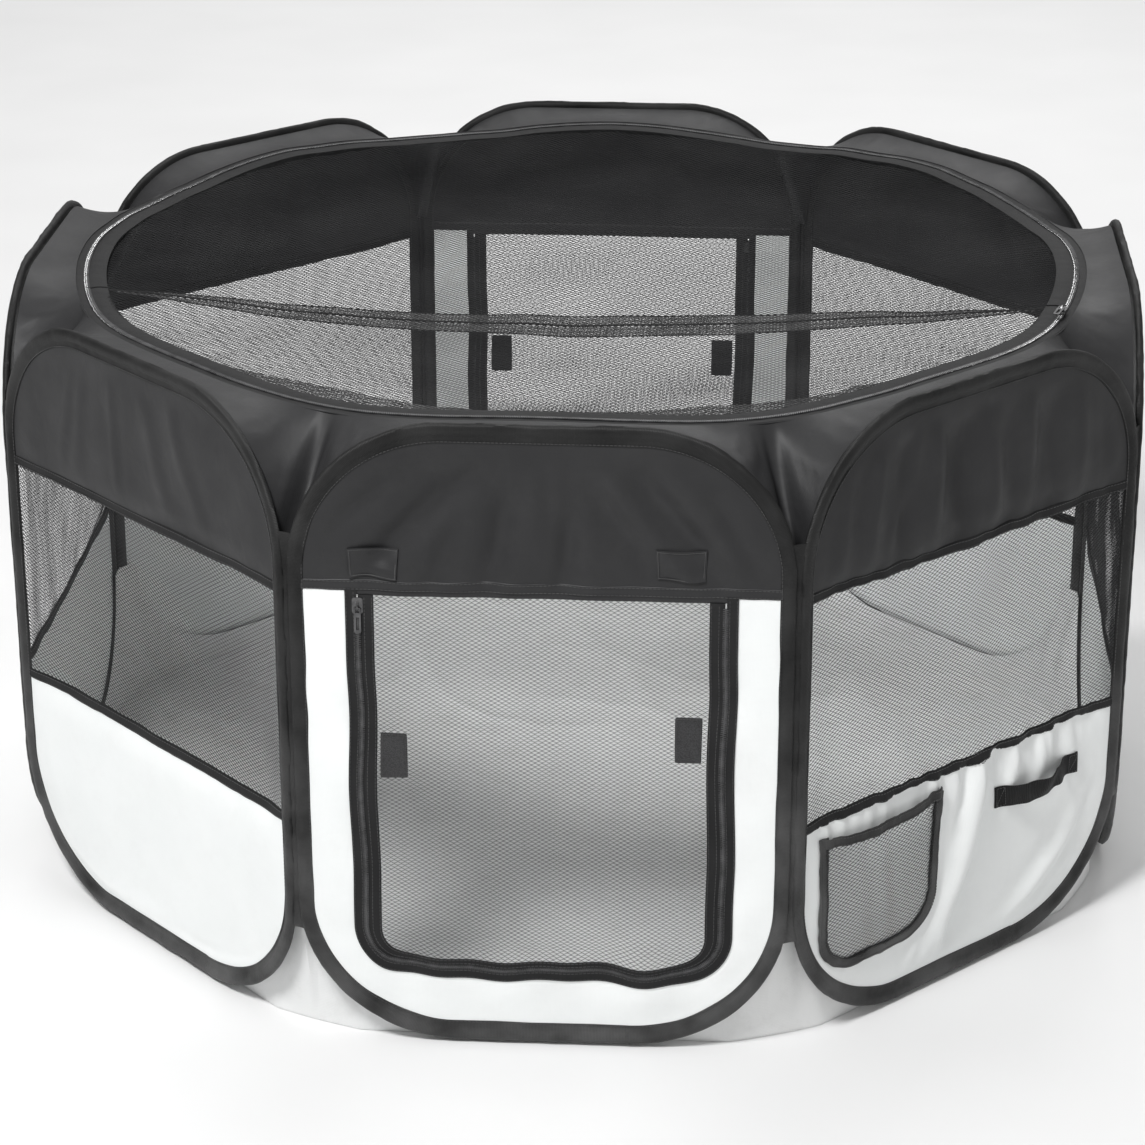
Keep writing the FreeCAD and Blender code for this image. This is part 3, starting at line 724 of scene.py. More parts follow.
def pocket_panel_folds():
    out = FOLDS[POCKET_PANEL][..., 1]
    for x, height, width in POCKET_BAND:
        out += ridge(x, 0.470, x * 0.93, 0.602, width, height) * EDGE
    # the gathered tapes wave up and down, and in and out
    for tape_z, height in ((SIDE_TAPE_Z, 0.0011), (LOW_TAPE_Z, 0.0017)):
        near = bell((MESH_Z - tape_z) / 0.012) * EDGE
        seed = 1200 + int(tape_z * 100)
        FOLDS[POCKET_PANEL][..., 2] += near * height * noise1(GRID_X / 0.0125, seed)
        out += near * 0.0016 * noise1(GRID_X / 0.014, seed + 10)
    lower = ramp_up(LOW_TAPE_Z + 0.004, LOW_TAPE_Z - 0.004, MESH_Z) * EDGE
    # one deep fold between the pocket and the strap, steep on its right side
    line = np.interp(MESH_Z, (0.015, 0.044, 0.118, 0.223), (-0.036, -0.023, 0.011, 0.037))
    off = MESH_X - line
    down = np.clip((LOW_TAPE_Z - MESH_Z) / 0.2, 0, 1)
    depth = 0.0055 + 0.0060 * np.sin(math.pi * np.clip(down * 0.9 + 0.15, 0, 1))
    out += lower * depth * bell((off + 0.012) / 0.0155) * ramp_up(0.0040, -0.0040, off)
    out += lower * -0.0036 * bell((off - 0.008) / 0.008)
    # gathers just under the tape
    gathered = ramp_up(LOW_TAPE_Z - 0.052, LOW_TAPE_Z - 0.006, MESH_Z)
    out += lower * gathered * (0.0030 * noise1(GRID_X / 0.0100, 1230)
                               + 0.0016 * noise1(GRID_X / 0.0050, 1231))
    for fold in POCKET_LOWER:
        out += lower * ridge(*fold)


def door_folds(panel):
    """The zip's line waves along the door's bottom and sides."""
    side = np.sign(MESH_X)
    low_part = (bell((MESH_Z - DOOR_BOTTOM - 0.01) / 0.035)
                * ramp_up(0.175, 0.12, np.abs(MESH_X)))
    side_part = (bell((np.abs(MESH_X) - DOOR_OUT + 0.01) / 0.02)
                 * ramp_up(0.13, 0.2, MESH_Z) * ramp_up(0.42, 0.36, MESH_Z))
    move = FOLDS[panel]
    move[..., 2] += low_part * (0.0028 * np.sin(MESH_X * 46 + 0.6 + panel)
                                + 0.0016 * np.sin(MESH_X * 96 + 2))
    move[..., 1] += low_part * (0.0030 * np.sin(MESH_X * 62 + 1.2 + panel))
    move[..., 0] += side_part * side * 0.0016 * np.sin(MESH_Z * 34 + panel + side)
    move[..., 1] += side_part * 0.0018 * np.sin(MESH_Z * 58 + panel + 2 * side)


for panel in range(8):
    base_folds(panel)
for fold in FRONT_BAND:
    FOLDS[0][..., 1] += ridge(*fold) * EDGE
pocket_panel_folds()
for panel in DOORS:
    door_folds(panel)


def warp(panel, x, y, z):
    """World points of a panel's cloth with its folds."""
    x, y, z = np.broadcast_arrays(x, y, z)
    rows, columns = MESH_X.shape
    at_x = np.clip((x - GRID_X[0]) / (GRID_X[1] - GRID_X[0]), 0, columns - 1.001)
    at_z = np.clip((z - GRID_Z[0]) / (GRID_Z[1] - GRID_Z[0]), 0, rows - 1.001)
    i, j = at_x.astype(int), at_z.astype(int)
    part_x, part_z = (at_x - i)[..., None], (at_z - j)[..., None]
    folds = FOLDS[panel]
    move = ((folds[j, i] * (1 - part_x) + folds[j, i + 1] * part_x) * (1 - part_z)
            + (folds[j + 1, i] * (1 - part_x) + folds[j + 1, i + 1] * part_x) * part_z)
    return place(panel, x + move[..., 0], y + move[..., 1], z + move[..., 2])


# ------------------------------------------------------------------ cloth simulation
CLOTH = dict(
    quality=6, mass=0.25, air_damping=2.0,
    tension_stiffness=18, compression_stiffness=18, shear_stiffness=6, bending_stiffness=0.35,
    vertex_group_mass="pin",
    # the ease group grows the cloth, by up to 5 %
    vertex_group_shrink="ease", shrink_min=0.0, shrink_max=-0.05)


def doubled(grid, axis, wrap=False):
    """Twice as many points along an axis, on a smooth curve through the old ones."""
    grid = np.moveaxis(grid, axis, 0)
    if wrap:
        ext = np.concatenate([grid[-1:], grid, grid[:2]])
    else:
        ext = np.concatenate([2 * grid[:1] - grid[1:2], grid, 2 * grid[-1:] - grid[-2:-1]])
    between = (-ext[:-3] + 9 * ext[1:-2] + 9 * ext[2:-1] - ext[3:]) / 16
    out = np.empty((len(grid) + len(between),) + grid.shape[1:])
    out[0::2] = grid
    out[1::2] = between
    return np.moveaxis(out, 0, axis)


def settle(grids, pinned, ease, frames, wrap=False):
    """Simulates equal-sized grids held at their pinned points. ease is the spare cloth's share."""
    rows, columns = grids[0].shape[:2]
    quads = grid_faces(rows, columns, wrap)
    faces = [quads + i * rows * columns for i in range(len(grids))]
    ob = make("settle", np.stack(grids), [np.concatenate(faces)])
    pinned, ease = np.stack(pinned).ravel(), np.stack(ease).ravel()
    pin_group = ob.vertex_groups.new(name="pin")
    ease_group = ob.vertex_groups.new(name="ease")
    pin_group.add(np.nonzero(pinned)[0].tolist(), 1.0, "REPLACE")
    for level in np.unique(np.round(ease, 2)):
        members = np.nonzero(np.abs(ease - level) < 0.006)[0].tolist()
        ease_group.add(members, float(level), "REPLACE")
    modifier = ob.modifiers.new("cloth", "CLOTH")
    for key, value in CLOTH.items():
        setattr(modifier.settings, key, value)
    modifier.collision_settings.use_collision = False
    modifier.collision_settings.use_self_collision = False
    cache = modifier.point_cache
    cache.frame_start, cache.frame_end = 1, frames
    scene = bpy.context.scene
    scene.frame_start, scene.frame_end = 1, frames
    for i in range(1, frames + 1):
        scene.frame_set(i)
    settled = ob.evaluated_get(bpy.context.evaluated_depsgraph_get())
    mesh = settled.to_mesh()
    verts = np.zeros(len(mesh.vertices) * 3, np.float32)
    mesh.vertices.foreach_get("co", verts)
    settled.to_mesh_clear()
    mesh = ob.data
    bpy.data.objects.remove(ob)
    bpy.data.meshes.remove(mesh)
    scene.frame_set(1)
    return verts.astype(float).reshape(len(grids), rows, columns, 3)


def door_zip_distance(x, z):
    """Rough distance from the door zip's line."""
    radius = 0.042
    half, bottom = DOOR_OUT - CHAIN_INSET, DOOR_BOTTOM + CHAIN_INSET
    x = np.abs(x)
    round_corner = np.abs(np.hypot(x - (half - radius), z - (bottom + radius)) - radius)
    return np.where(z > DOOR_BOTTOM + 0.05, np.abs(x - half),
                    np.where(x < half - radius, np.abs(z - bottom), round_corner))


def settle_panels():
    """Adds simulated slack to the folds; sleeves, tapes and zips hold the cloth."""
    grid_x = np.linspace(-HALF + 0.010, HALF - 0.010, 57)
    grid_z = np.linspace(BOTTOM + 0.010, TOP - 0.010, 77)
    x, z = np.meshgrid(grid_x, grid_z)
    inset = inset_of(x, z)
    grids, pinned, ease = [], [], []
    for panel in range(8):
        start = 0.0007 * noise2(x * 34, z * 26, 830 + panel) * ramp_up(0.015, 0.03, inset)
        grids.append(place(panel, x, start, z))
        is_door = panel in DOORS
        tape_z = tape_height(panel)
        pin = inset < 0.0150
        pin |= (z < tape_z + 0.0055) & (z > tape_z - (0.0170 if is_door else 0.0055))
        if is_door:
            pin |= (door_zip_distance(x, z) < 0.0065) & (z < tape_z)
            above, below = 0.22, 0.10
        else:
            pin |= np.abs(z - LOW_TAPE_Z) < 0.0055
            above, below = (0.20, 0.12) if panel == POCKET_PANEL else (0.12, 0.10)
        slack = np.where(z > tape_z, above, below)
        if panel == POCKET_PANEL:
            slack = np.where(z < LOW_TAPE_Z, 0.40, slack)
        pinned.append(pin)
        ease.append(slack)
    settled = settle(grids, pinned, ease, frames=18)
    for panel in range(8):
        move = settled[panel] - place(panel, x, 0.0, z)
        move = points(move @ across(panel), move @ outward(panel), move[..., 2])
        move = np.clip(move, (-0.004, -0.0075, -0.004), (0.004, 0.0085, 0.004))
        move = doubled(doubled(move, 0), 1)
        fine_x = np.linspace(grid_x[0], grid_x[-1], move.shape[1])
        fine_z = np.linspace(grid_z[0], grid_z[-1], move.shape[0])
        for axis in range(3):
            rows = np.stack([np.interp(GRID_X, fine_x, row) for row in move[..., axis]])
            full = np.stack([np.interp(GRID_Z, fine_z, column) for column in rows.T], 1)
            FOLDS[panel][..., axis] += 0.8 * full * ramp_up(-0.001, 0.012, CLEAR)
        limit = 0.0115 if panel == POCKET_PANEL else 0.0095
        FOLDS[panel][..., 1] = np.clip(FOLDS[panel][..., 1], -0.0095, limit)


settle_panels()


# ------------------------------------------------------------------ stitching
class Stitching:
    """Collects a panel's stitch rows, then makes one piece of them."""

    def __init__(self, panel):
        self.panel = panel
        self.rows = []

    def row(self, point, start, end, length, facing=1, pitch=0.0038, stitch=0.0026,
            width=0.00034):
        """Stitches along point(t); facing is 1 outside the panel and -1 inside."""
        count = max(2, int(length / pitch))
        t = start + (end - start) * (np.arange(count) + 0.5) / count
        step = (end - start) * 0.2 / count
        before, after = point(t - step), point(t + step)
        tangent = unit(after - before)
        side = unit(np.cross(outward(self.panel) * facing, tangent))
        half_sizes = np.tile((stitch / 2, width, width), (count, 1))
        self.rows.append(((before + after) / 2, tangent, side, np.cross(tangent, side),
                          half_sizes))

    def across_row(self, point, half):
        self.row(point, -half, half, 2 * half)

    def u_row(self, shape, top, inset, y, low_share=1.0, centre_x=0.0, count=300, **options):
        path, _, lengths = u_path(shape, top, count, inset, low_share)

        def point(t):
            at = along(path, t, lengths)
            return warp(self.panel, at[:, 0] + centre_x, y, at[:, 1])
        self.row(point, 0, lengths[-1], lengths[-1], **options)

    def polyline(self, point, corners, scale, **options):
        """Straight rows between corners of a plane; scale turns its units into metres."""
        for a, b in zip(corners, corners[1:]):
            length = math.hypot((b[0] - a[0]) * scale[0], (b[1] - a[1]) * scale[1])
            self.row(lambda t: point(a[0] * (1 - t) + b[0] * t, a[1] * (1 - t) + b[1] * t),
                     0, 1, length, **options)

    def piece(self, name):
        centres, *axes, half_sizes = (np.concatenate(part) for part in zip(*self.rows))
        return bars(name, centres, axes, half_sizes, STITCH, THREAD, uv_step=0.0, angle=30)


def sleeve_stitches(stitching):
    path, normals, _ = outline(SLEEVE_LINE, 400)
    reach = sleeve_width(normals[:, 1]) - SLEEVE_OUT - 0.0013
    path = closed(path - normals * reach[:, None])
    lengths = arc_lengths(path)
    for facing in (1, -1):
        def point(t):
            at = along(path, np.mod(t, lengths[-1]), lengths)
            return place(stitching.panel, at[:, 0], facing * 0.0015, at[:, 1])
        stitching.row(point, 0, lengths[-1], lengths[-1], facing)


def tape_stitches(stitching, tape_z):
    half = half_width(tape_z, 0.0125)
    for rise in (-0.0036, 0.0036):
        for facing in (1, -1):
            stitching.row(
                lambda t: warp(stitching.panel, t, facing * 0.0016, tape_z + rise),
                -half, half, 2 * half, facing)


# ------------------------------------------------------------------ parts of a panel
# half of the sleeve's section in mm, from its outer edge inward: out in the plane, thickness
SLEEVE_PROFILE = ((6.3, 2.3), (4.4, 3.6), (1.0, 4.1), (-2.4, 3.5), (-4.8, 2.0), (-6.6, 1.3))


def sleeve(panel):
    """Puckered black sleeve round the hoop."""
    path, normals, length = outline(SLEEVE_LINE, 560)
    zero = np.zeros(len(path))
    edge_pucker = (0.00030 * noise1(length / 0.007, 11 + panel)
                   + 0.00050 * noise1(length / 0.023, 21 + panel))
    pucker = (0.00055 * noise1(length / 0.009, 31 + panel)
              + 0.0004 * noise1(length / 0.035, 37 + panel))
    width = sleeve_width(normals[:, 1]) + 0.0006 * noise1(length / 0.03, 41 + panel)
    tip = -(width - SLEEVE_OUT)
    profile = []
    for i, (x, y) in enumerate(SLEEVE_PROFILE):
        streak = 0.00055 * noise2(length / 0.030, zero + 1.3 * i, 51 + panel)
        streak, share = (streak * 0.4, 0.5) if y > 3 else (streak, 0.8)
        thick = np.maximum(y * 0.001 + pucker * share + streak, 0.00105)
        profile.append((zero + x * 0.001, thick))
    profile.append((tip + 0.0004, 0.00125 + 0.3 * pucker))
    ring = ([(SLEEVE_OUT + edge_pucker, zero)] + profile + [(tip, zero)]
            + [(x, -y) for x, y in profile[::-1]])
    section = np.stack([points(*pair) for pair in ring], 1)
    return sweep("binding_sleeve_" + NAMES[panel], place(panel, path[:, 0], 0.0, path[:, 1]),
                 in_plane(panel, normals), outward(panel), section, BINDING, loop=True)


def cross_tape(panel, tape_z, name, material):
    """Folded tape across a panel, from sleeve to sleeve."""
    half = half_width(tape_z, 0.0125)
    x = np.linspace(-half, half, 150)
    z = tape_z + 0.0004 * noise1(x / 0.03, 60 + panel)
    centres = warp(panel, x, 0.0, z)
    upward = unit(warp(panel, x, 0.0, z + 0.003) - warp(panel, x, 0.0, z - 0.003))
    facing = np.cross(upward, unit(np.gradient(centres, axis=0)))
    if (facing[75] * outward(panel)).sum() < 0:
        facing = -facing
    swell = 1 + 0.07 * noise1(x / 0.012, 70 + panel)
    section = flat_section(TAPE_HALF, 0.0016, 3.5) * swell[:, None, None]
    return sweep(name, centres, upward, facing, section, material)


def panel_sheet(panel, name, x, y, z, thick, material):
    return solid_grid(name, warp(panel, x, y, z), thick, points(x, z), material,
                      outward(panel))


def cloth_sheet(panel, name, bottom, top, rows, material, fine_top):
    """Cloth across the hoop, with rows closer at its top or its bottom."""
    t = np.linspace(0, 1, rows) * math.pi / 2
    t = np.sin(t) ** 0.9 if fine_top else 1 - np.cos(t) ** 0.9
    z = bottom + (top - bottom) * t
    side = np.linspace(-1, 1, 120)
    side = side * (1 - 0.10) + 0.10 * np.sign(side) * np.abs(side) ** 3
    x, z = np.broadcast_arrays(half_width(z, CLOTH_INSET)[:, None] * side[None, :], z[:, None])
    return panel_sheet(panel, name, x, 0.0, z, CLOTH_THICK, material)


def door_surround(panel):
    """White cloth round the door, from the zip tape's edge to the hoop."""
    count = 330
    inner, _, lengths = u_path(DOOR_U, SURROUND_TOP, count, inset=0.0004)
    # the hoop's inner line, from the left tape end down and round to the right
    outer = outline(CLOTH_INSET, 900)[0]
    half = half_width(SURROUND_TOP, CLOTH_INSET)

    def nearest(x):
        return np.argmin((outer[:, 0] - x) ** 2 + (outer[:, 1] - SURROUND_TOP) ** 2)
    outer = np.roll(outer, -nearest(-half), 0)
    outer = outer[:nearest(half) + 1]

    def turn_share(path):
        """Share of the whole turn about a point low in the panel."""
        angle = np.unwrap(np.arctan2(path[:, 1] - 0.33, path[:, 0]))
        return (angle - angle[0]) / (angle[-1] - angle[0])
    share = (np.linspace(0, 1, count) + lengths / lengths[-1]) / 2
    outer = along(outer, share, turn_share(outer))
    inner = along(inner, np.interp(share, turn_share(inner), lengths), lengths)
    t = np.linspace(0, 1, 16)[:, None, None]
    grid = inner[None] * (1 - t) + outer[None] * t
    return panel_sheet(panel, "door_surround_cloth_" + NAMES[panel], grid[..., 0], 0.0,
                       grid[..., 1], CLOTH_THICK, WHITE)


def u_strip(panel, name, shape, top, inset, width, thick, y=0.0, crown=0.0, low_share=1.0):
    """Flat strip inward from a U."""
    rows, count = 7, 420
    share = np.linspace(0, 1, rows)
    grid = np.stack([u_path(shape, top, count, inset + t * width, low_share)[0]
                     for t in share])
    t = share[:, None]
    s = np.linspace(0, 1, count)[None, :]
    arch = np.sin(math.pi * t)
    y = y + crown * arch + 0.00025 * noise1(s * 90, 5 + panel) * arch
    return solid_grid(name, warp(panel, grid[..., 0], y, grid[..., 1]), thick,
                      points(s * 1.1, t * width), TAPE, outward(panel))


def door_teeth(panel, name, side):
    """Half of the zip chain: side 1 on the surround, -1 on the door."""
    pitch = 0.0019
    path, normals, lengths = u_path(DOOR_U, DOOR_TOP - 0.004, 900, CHAIN_INSET)
    t = np.arange(pitch / 2, lengths[-1], pitch) + (pitch / 2 if side < 0 else 0)
    t = t[t < lengths[-1] - 0.002]
    normal = along(normals, t, lengths)
    at = along(path, t, lengths) + normal * (0.0009 * side)
    centres = warp(panel, at[:, 0], 0.0014, at[:, 1])
    tangent = points(-normal[:, 1], normal[:, 0])
    axes = (in_plane(panel, normal), in_plane(panel, tangent),
            np.broadcast_to(outward(panel), centres.shape))
    return bars(name, centres, axes, (0.0019, 0.00062, 0.00095), TOOTH, COIL,
                uv_step=0.004, angle=40)


# knitted cells: column pitch, row pitch, half height of a zigzag
FINE_CELL = (0.00335, 0.0021, 0.0008)
WIDE_CELL = (0.0036, 0.0032, 0.0012)


def netting(name, put, box, inside, material=None, radius=0.00025, depth=0.0002,
            cell=FINE_CELL):
    """Knitted netting in box (x0, x1, z0, z1); put(x, y, z) places it where inside(x, z)."""
    pitch_x, pitch_z, zigzag = cell
    x0, x1, z0, z1 = box
    i = np.arange(math.floor(x0 / pitch_x) - 1, math.ceil(x1 / pitch_x) + 2)
    j = np.arange(math.floor(z0 / pitch_z) - 1, math.ceil(z1 / pitch_z) + 2)
    i, j = np.meshgrid(i, j, indexing="ij")
    up = (i + j) % 2 == 0
    knots = points(i * pitch_x, j * pitch_z + np.where(up, zigzag, -zigzag))
    # zigzag strands along the columns' rows, then the ties between rows
    tied = up[:, :-1]
    starts = np.concatenate([knots[:-1].reshape(-1, 2), knots[:, :-1][tied]])
    ends = np.concatenate([knots[1:].reshape(-1, 2), knots[:, 1:][tied]])
    middles = (starts + ends) / 2
    keep = inside(middles[:, 0], middles[:, 1])
    starts, ends = starts[keep], ends[keep]
    along_ = ends - starts
    along_ = along_ / np.linalg.norm(along_, axis=1, keepdims=True)
    starts, ends = starts - along_ * radius * 0.4, ends + along_ * radius * 0.4
    side = points(-along_[:, 1], along_[:, 0])
    flat, outs = [], []
    for end in (starts, ends):
        for offset, out in ((radius, -depth), (-radius, -depth), (0.0, depth * 1.5)):
            flat.append(end + side * offset)
            outs.append(np.full(len(end), out))
    flat = np.stack(flat, 1).reshape(-1, 2)
    verts = put(flat[:, 0], np.stack(outs, 1).ravel(), flat[:, 1])
    base = (np.arange(len(starts)) * 6)[:, None, None]
    quads = (np.array([(0, 1, 4, 3), (1, 2, 5, 4), (2, 0, 3, 5)]) + base).reshape(-1, 4)
    caps = (np.array([(0, 2, 1), (3, 4, 5)]) + base).reshape(-1, 3)
    flip = faces_away(verts, (0, 1, 4), verts[[0, 1, 4, 3]].mean(0) - verts[:6].mean(0))
    return make(name, verts, [turned(quads, flip), turned(caps, flip)], None,
                material or NETTING)


def window(panel):
    def inside(x, z):
        return ((inset_of(x, z) > 0.0115) & (z > LOW_TAPE_Z - 0.001)
                & (z < SIDE_TAPE_Z + 0.001))
    return netting("window_netting_" + NAMES[panel], lambda x, y, z: warp(panel, x, y, z),
                   (-HALF, HALF, LOW_TAPE_Z, SIDE_TAPE_Z), inside)


# ------------------------------------------------------------------ doors
# middles (x, z) of the left and right hook patches of each door panel
PATCH_SPOTS = {0: ((-0.138, 0.305), (0.136, 0.328)), 4: ((-0.138, 0.312), (0.136, 0.312))}
PATCH_HALF = (0.0125, 0.0230)
PATCH_SEAM = (0.0112, 0.0216)            # half sizes of the stitched rectangle
TAB_SPOTS = ((-0.176, 0.484), (0.105, 0.488))    # lower left corners
TAB_SIZE = (0.045, 0.028)


def door_patch(panel, index, centre_x, centre_z, stitching):
    t = np.linspace(-1, 1, 22)
    t = np.sign(t) * np.abs(t) ** 0.8
    a, b = np.meshgrid(t, t)
    rim = np.maximum(np.abs(a), np.abs(b))
    y = 0.0011 + 0.0007 * (1 - rim ** 8) + 0.0001 * noise2(a * 6, b * 9, 80 + index)
    x = centre_x + PATCH_HALF[0] * a * (1 - 0.02 * b ** 8)
    z = centre_z + PATCH_HALF[1] * b * (1 - 0.015 * a ** 8)
    name = NAMES[panel]
    attach(panel_sheet(panel, "hook_patch_%s_%d" % (name, index + 1), x, y, z, 0.0013, HOOK),
           "door_" + name, "hook_patch", "door_patches_" + name)
    stitching.polyline(
        lambda a, b: warp(panel, centre_x + PATCH_SEAM[0] * a, 0.0024,
                          centre_z + PATCH_SEAM[1] * b),
        ((-1, -1), (1, -1), (1, 1), (-1, 1), (-1, -1)), PATCH_SEAM, pitch=0.0028,
        stitch=0.0019)


def roll_tab(panel, index, left, bottom, stitching):
    """Tab that holds the rolled-up door; a and b run over it from its lower left."""
    def tab(a, b, lift):
        return (left + TAB_SIZE[0] * a + 0.003 * (b - 0.5) * (a - 0.5),
                0.0016 + 0.0022 * np.sin(math.pi * a) * ramp_up(0, 0.35, b) + lift,
                bottom + TAB_SIZE[1] * b + 0.0012 * np.sin(a * 5 + index))
    t = np.linspace(0, 1, 24)
    a, b = np.meshgrid(t, t)
    x, y, z = tab(a, b, 0.0007 * noise2(a * 3, b * 3, 90 + index))
    name = NAMES[panel]
    attach(panel_sheet(panel, "roll_tab_%s_%d" % (name, index + 1), x, y, z, 0.0014, BLACK),
           "panel_" + name, "black_cloth", "upper_band_" + name)
    for point, length in ((lambda t: (t, 0.05), TAB_SIZE[0]), (lambda t: (t, 0.95), TAB_SIZE[0]),
                          (lambda t: (0.035, t), TAB_SIZE[1]),
                          (lambda t: (0.965, t), TAB_SIZE[1])):
        stitching.row(lambda t: warp(panel, *tab(*point(t), 0.0007)), 0.02, 0.98, length,
                      pitch=0.0024, stitch=0.0022, width=0.00042)


def door_parts(panel, stitching):
    """The surround, its zip, and the door of netting; stitching is the panel's."""
    name = NAMES[panel]
    body, door = "panel_" + name, "door_" + name
    attach(door_surround(panel), body, "white_cloth", "door_surround_" + name)
    attach(u_strip(panel, "door_zip_tape_cloth_" + name, DOOR_U, SURROUND_TOP, inset=-0.002,
                   width=0.0108, thick=0.0012, y=0.0011),
           body, "zip_tape", "door_zip_tape_" + name)
    attach(door_teeth(panel, "door_zip_coil_outer_" + name, 1), body, "zip_tape")
    for inset in (-0.0009, 0.0060):
        stitching.u_row(DOOR_U, DOOR_TAPE_Z - 0.006, inset, y=0.0018)
    attach(u_strip(panel, "door_hem_cloth_" + name, HEM_U, DOOR_TOP - 0.001, inset=0.0,
                   width=0.0140, thick=0.0018, crown=0.0004, low_share=0.5),
           door, "zip_tape", "door_hem_" + name)
    attach(door_teeth(panel, "door_zip_coil_inner_" + name, -1), door, "zip_tape")
    door_stitching = Stitching(panel)
    for inset in (0.0055, 0.0125):
        for facing in (1, -1):
            door_stitching.u_row(HEM_U, DOOR_TOP - 0.003, inset, y=facing * 0.0011 + 0.0002,
                                 low_share=0.5, facing=facing)
    net_u = (HEM_U[0] - 0.0115, HEM_U[1] + 0.0052, HEM_U[2] - 0.0085)
    attach(netting("door_netting_" + name, lambda x, y, z: warp(panel, x, y, z),
                   (-0.16, 0.16, 0.08, 0.47),
                   lambda x, z: in_u(x, z, net_u, DOOR_TOP - 0.0004)),
           door, "netting", "door_net_" + name)
    x = np.linspace(-DOOR_OUT + 0.001, DOOR_OUT - 0.001, 160)
    attach(sweep("door_top_cord_" + name, warp(panel, x, 0.0, DOOR_TOP + 0.0018), UP,
                 outward(panel), flat_section(0.0030, 0.0007, 2.4), BLACK),
           body, "black_cloth")
    for i, spot in enumerate(PATCH_SPOTS[panel]):
        door_patch(panel, i, *spot, door_stitching)
    attach(door_stitching.piece("door_stitching_" + name), door, "black_binding")
    for i, spot in enumerate(TAB_SPOTS):
        roll_tab(panel, i, *spot, stitching)


def side_parts(panel, stitching):
    """The lower tape and cloth, and the window between the tapes."""
    name = NAMES[panel]
    body = "panel_" + name
    attach(cross_tape(panel, LOW_TAPE_Z, "low_tape_" + name, TAPE), body, "black_binding",
           "binding_" + name)
    tape_stitches(stitching, LOW_TAPE_Z)
    attach(cloth_sheet(panel, "lower_cloth_" + name, BOTTOM + 0.0125, LOW_TAPE_Z - 0.001, 60,
                       WHITE, fine_top=False),
           body, "white_cloth", "lower_panel_" + name)
    attach(window(panel), body, "netting", "net_window_" + name)


def build_panel(panel):
    name = NAMES[panel]
    body = "panel_" + name
    is_door = panel in DOORS
    tape_z = tape_height(panel)
    stitching = Stitching(panel)
    attach(sleeve(panel), body, "black_binding", "binding_" + name)
    sleeve_stitches(stitching)
    attach(cross_tape(panel, tape_z, "band_tape_" + name, BLACK if is_door else TAPE), body,
           "black_binding", "binding_" + name)
    tape_stitches(stitching, tape_z)
    attach(cloth_sheet(panel, "upper_band_cloth_" + name, tape_z + 0.001, TOP - 0.0125, 46,
                       BLACK, fine_top=True),
           body, "black_cloth", "upper_band_" + name)
    (door_parts if is_door else side_parts)(panel, stitching)
    attach(stitching.piece("stitching_" + name), body, "black_binding")


for panel in range(8):
    build_panel(panel)


# ------------------------------------------------------------------ seams between panels
JOINED = {frozenset((j["parent"], j["child"])) for j in frame["joints"]}


def build_seam(panel):
    """Cloth from a panel to the next, up the straight sides of their hoops."""
    after = (panel + 1) % 8
    y = 0.0030
    z = np.linspace(BOTTOM + BOTTOM_RADIUS - 0.035, TOP - TOP_RADIUS + 0.035, 120)
    t = np.linspace(0, 1, 9)
    half = half_width(z, 0.0) - 0.0042
    start, end = place(panel, half, y, z)[:, None], place(after, -half, y, z)[:, None]
    out = outward(panel + 0.5)
    bow = -0.0016 * np.sin(math.pi * t) + 0.0004 * noise1(z / 0.011, 300 + panel)[:, None]
    grid = start * (1 - t[:, None]) + end * t[:, None] + out * bow[..., None]
    ob = solid_grid("seam_cloth_%s_%s" % (NAMES[panel], NAMES[after]), grid, 0.0010,
                    points(z[:, None], t * 0.012), BINDING, out)
    bodies = "panel_" + NAMES[panel], "panel_" + NAMES[after]
    if frozenset(bodies) in JOINED:
        tuple(place(panel, HALF - 0.004, 0.003, 0.3))
        tuple(place(after, -HALF + 0.004, 0.003, 0.3))
        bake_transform(ob)
    else:
        attach(ob, bodies[1], "black_binding")


for panel in range(8):
    build_seam(panel)

# ------------------------------------------------------------------ pocket and strap
POCKET_BODY = "panel_" + NAMES[POCKET_PANEL]
POCKET_X = -0.117
POCKET_HALF = 0.083
POCKET_BOTTOM = low("pocket_binding").z
POCKET_TOP = high("pocket_binding").z
POCKET_U = (POCKET_HALF, POCKET_BOTTOM, 0.048)
BINDING_HALF = 0.0055
STRAP_LEFT = 0.048
STRAP_LENGTH = 0.120
STRAP_Z = (low("side_strap").z + high("side_strap").z) / 2
STRAP_WIDTH = high("side_strap").z - low("side_strap").z


def pocket_arch(x):
    """1 at the pocket's middle and 0 at its sides."""
    return np.clip(1 - ((x - POCKET_X) / POCKET_HALF) ** 2, 0, 1)


def pocket_out(x, z):
    """How far the pocket stands out."""
    arch = pocket_arch(x)
    up = np.clip((z - POCKET_BOTTOM) / (POCKET_TOP - POCKET_BOTTOM), 0, 1)
    return (0.0024 + 0.0062 * arch ** 0.7 * np.sin(up ** 0.8 * math.pi * 0.62)
            + 0.0017 * noise2(x * 62 + z * 9, z * 7, 123) * arch ** 0.5)


def pocket_top(x):
    """Middle of the top binding, which sags."""
    arch = pocket_arch(x)
    right = np.clip((x - POCKET_X) / POCKET_HALF, 0, 1)
    return (POCKET_TOP - BINDING_HALF - 0.0050 * arch + 0.0016 * noise1(x / 0.016, 17) * arch
            + 0.0035 * ramp_up(0.72, 0.86, right))


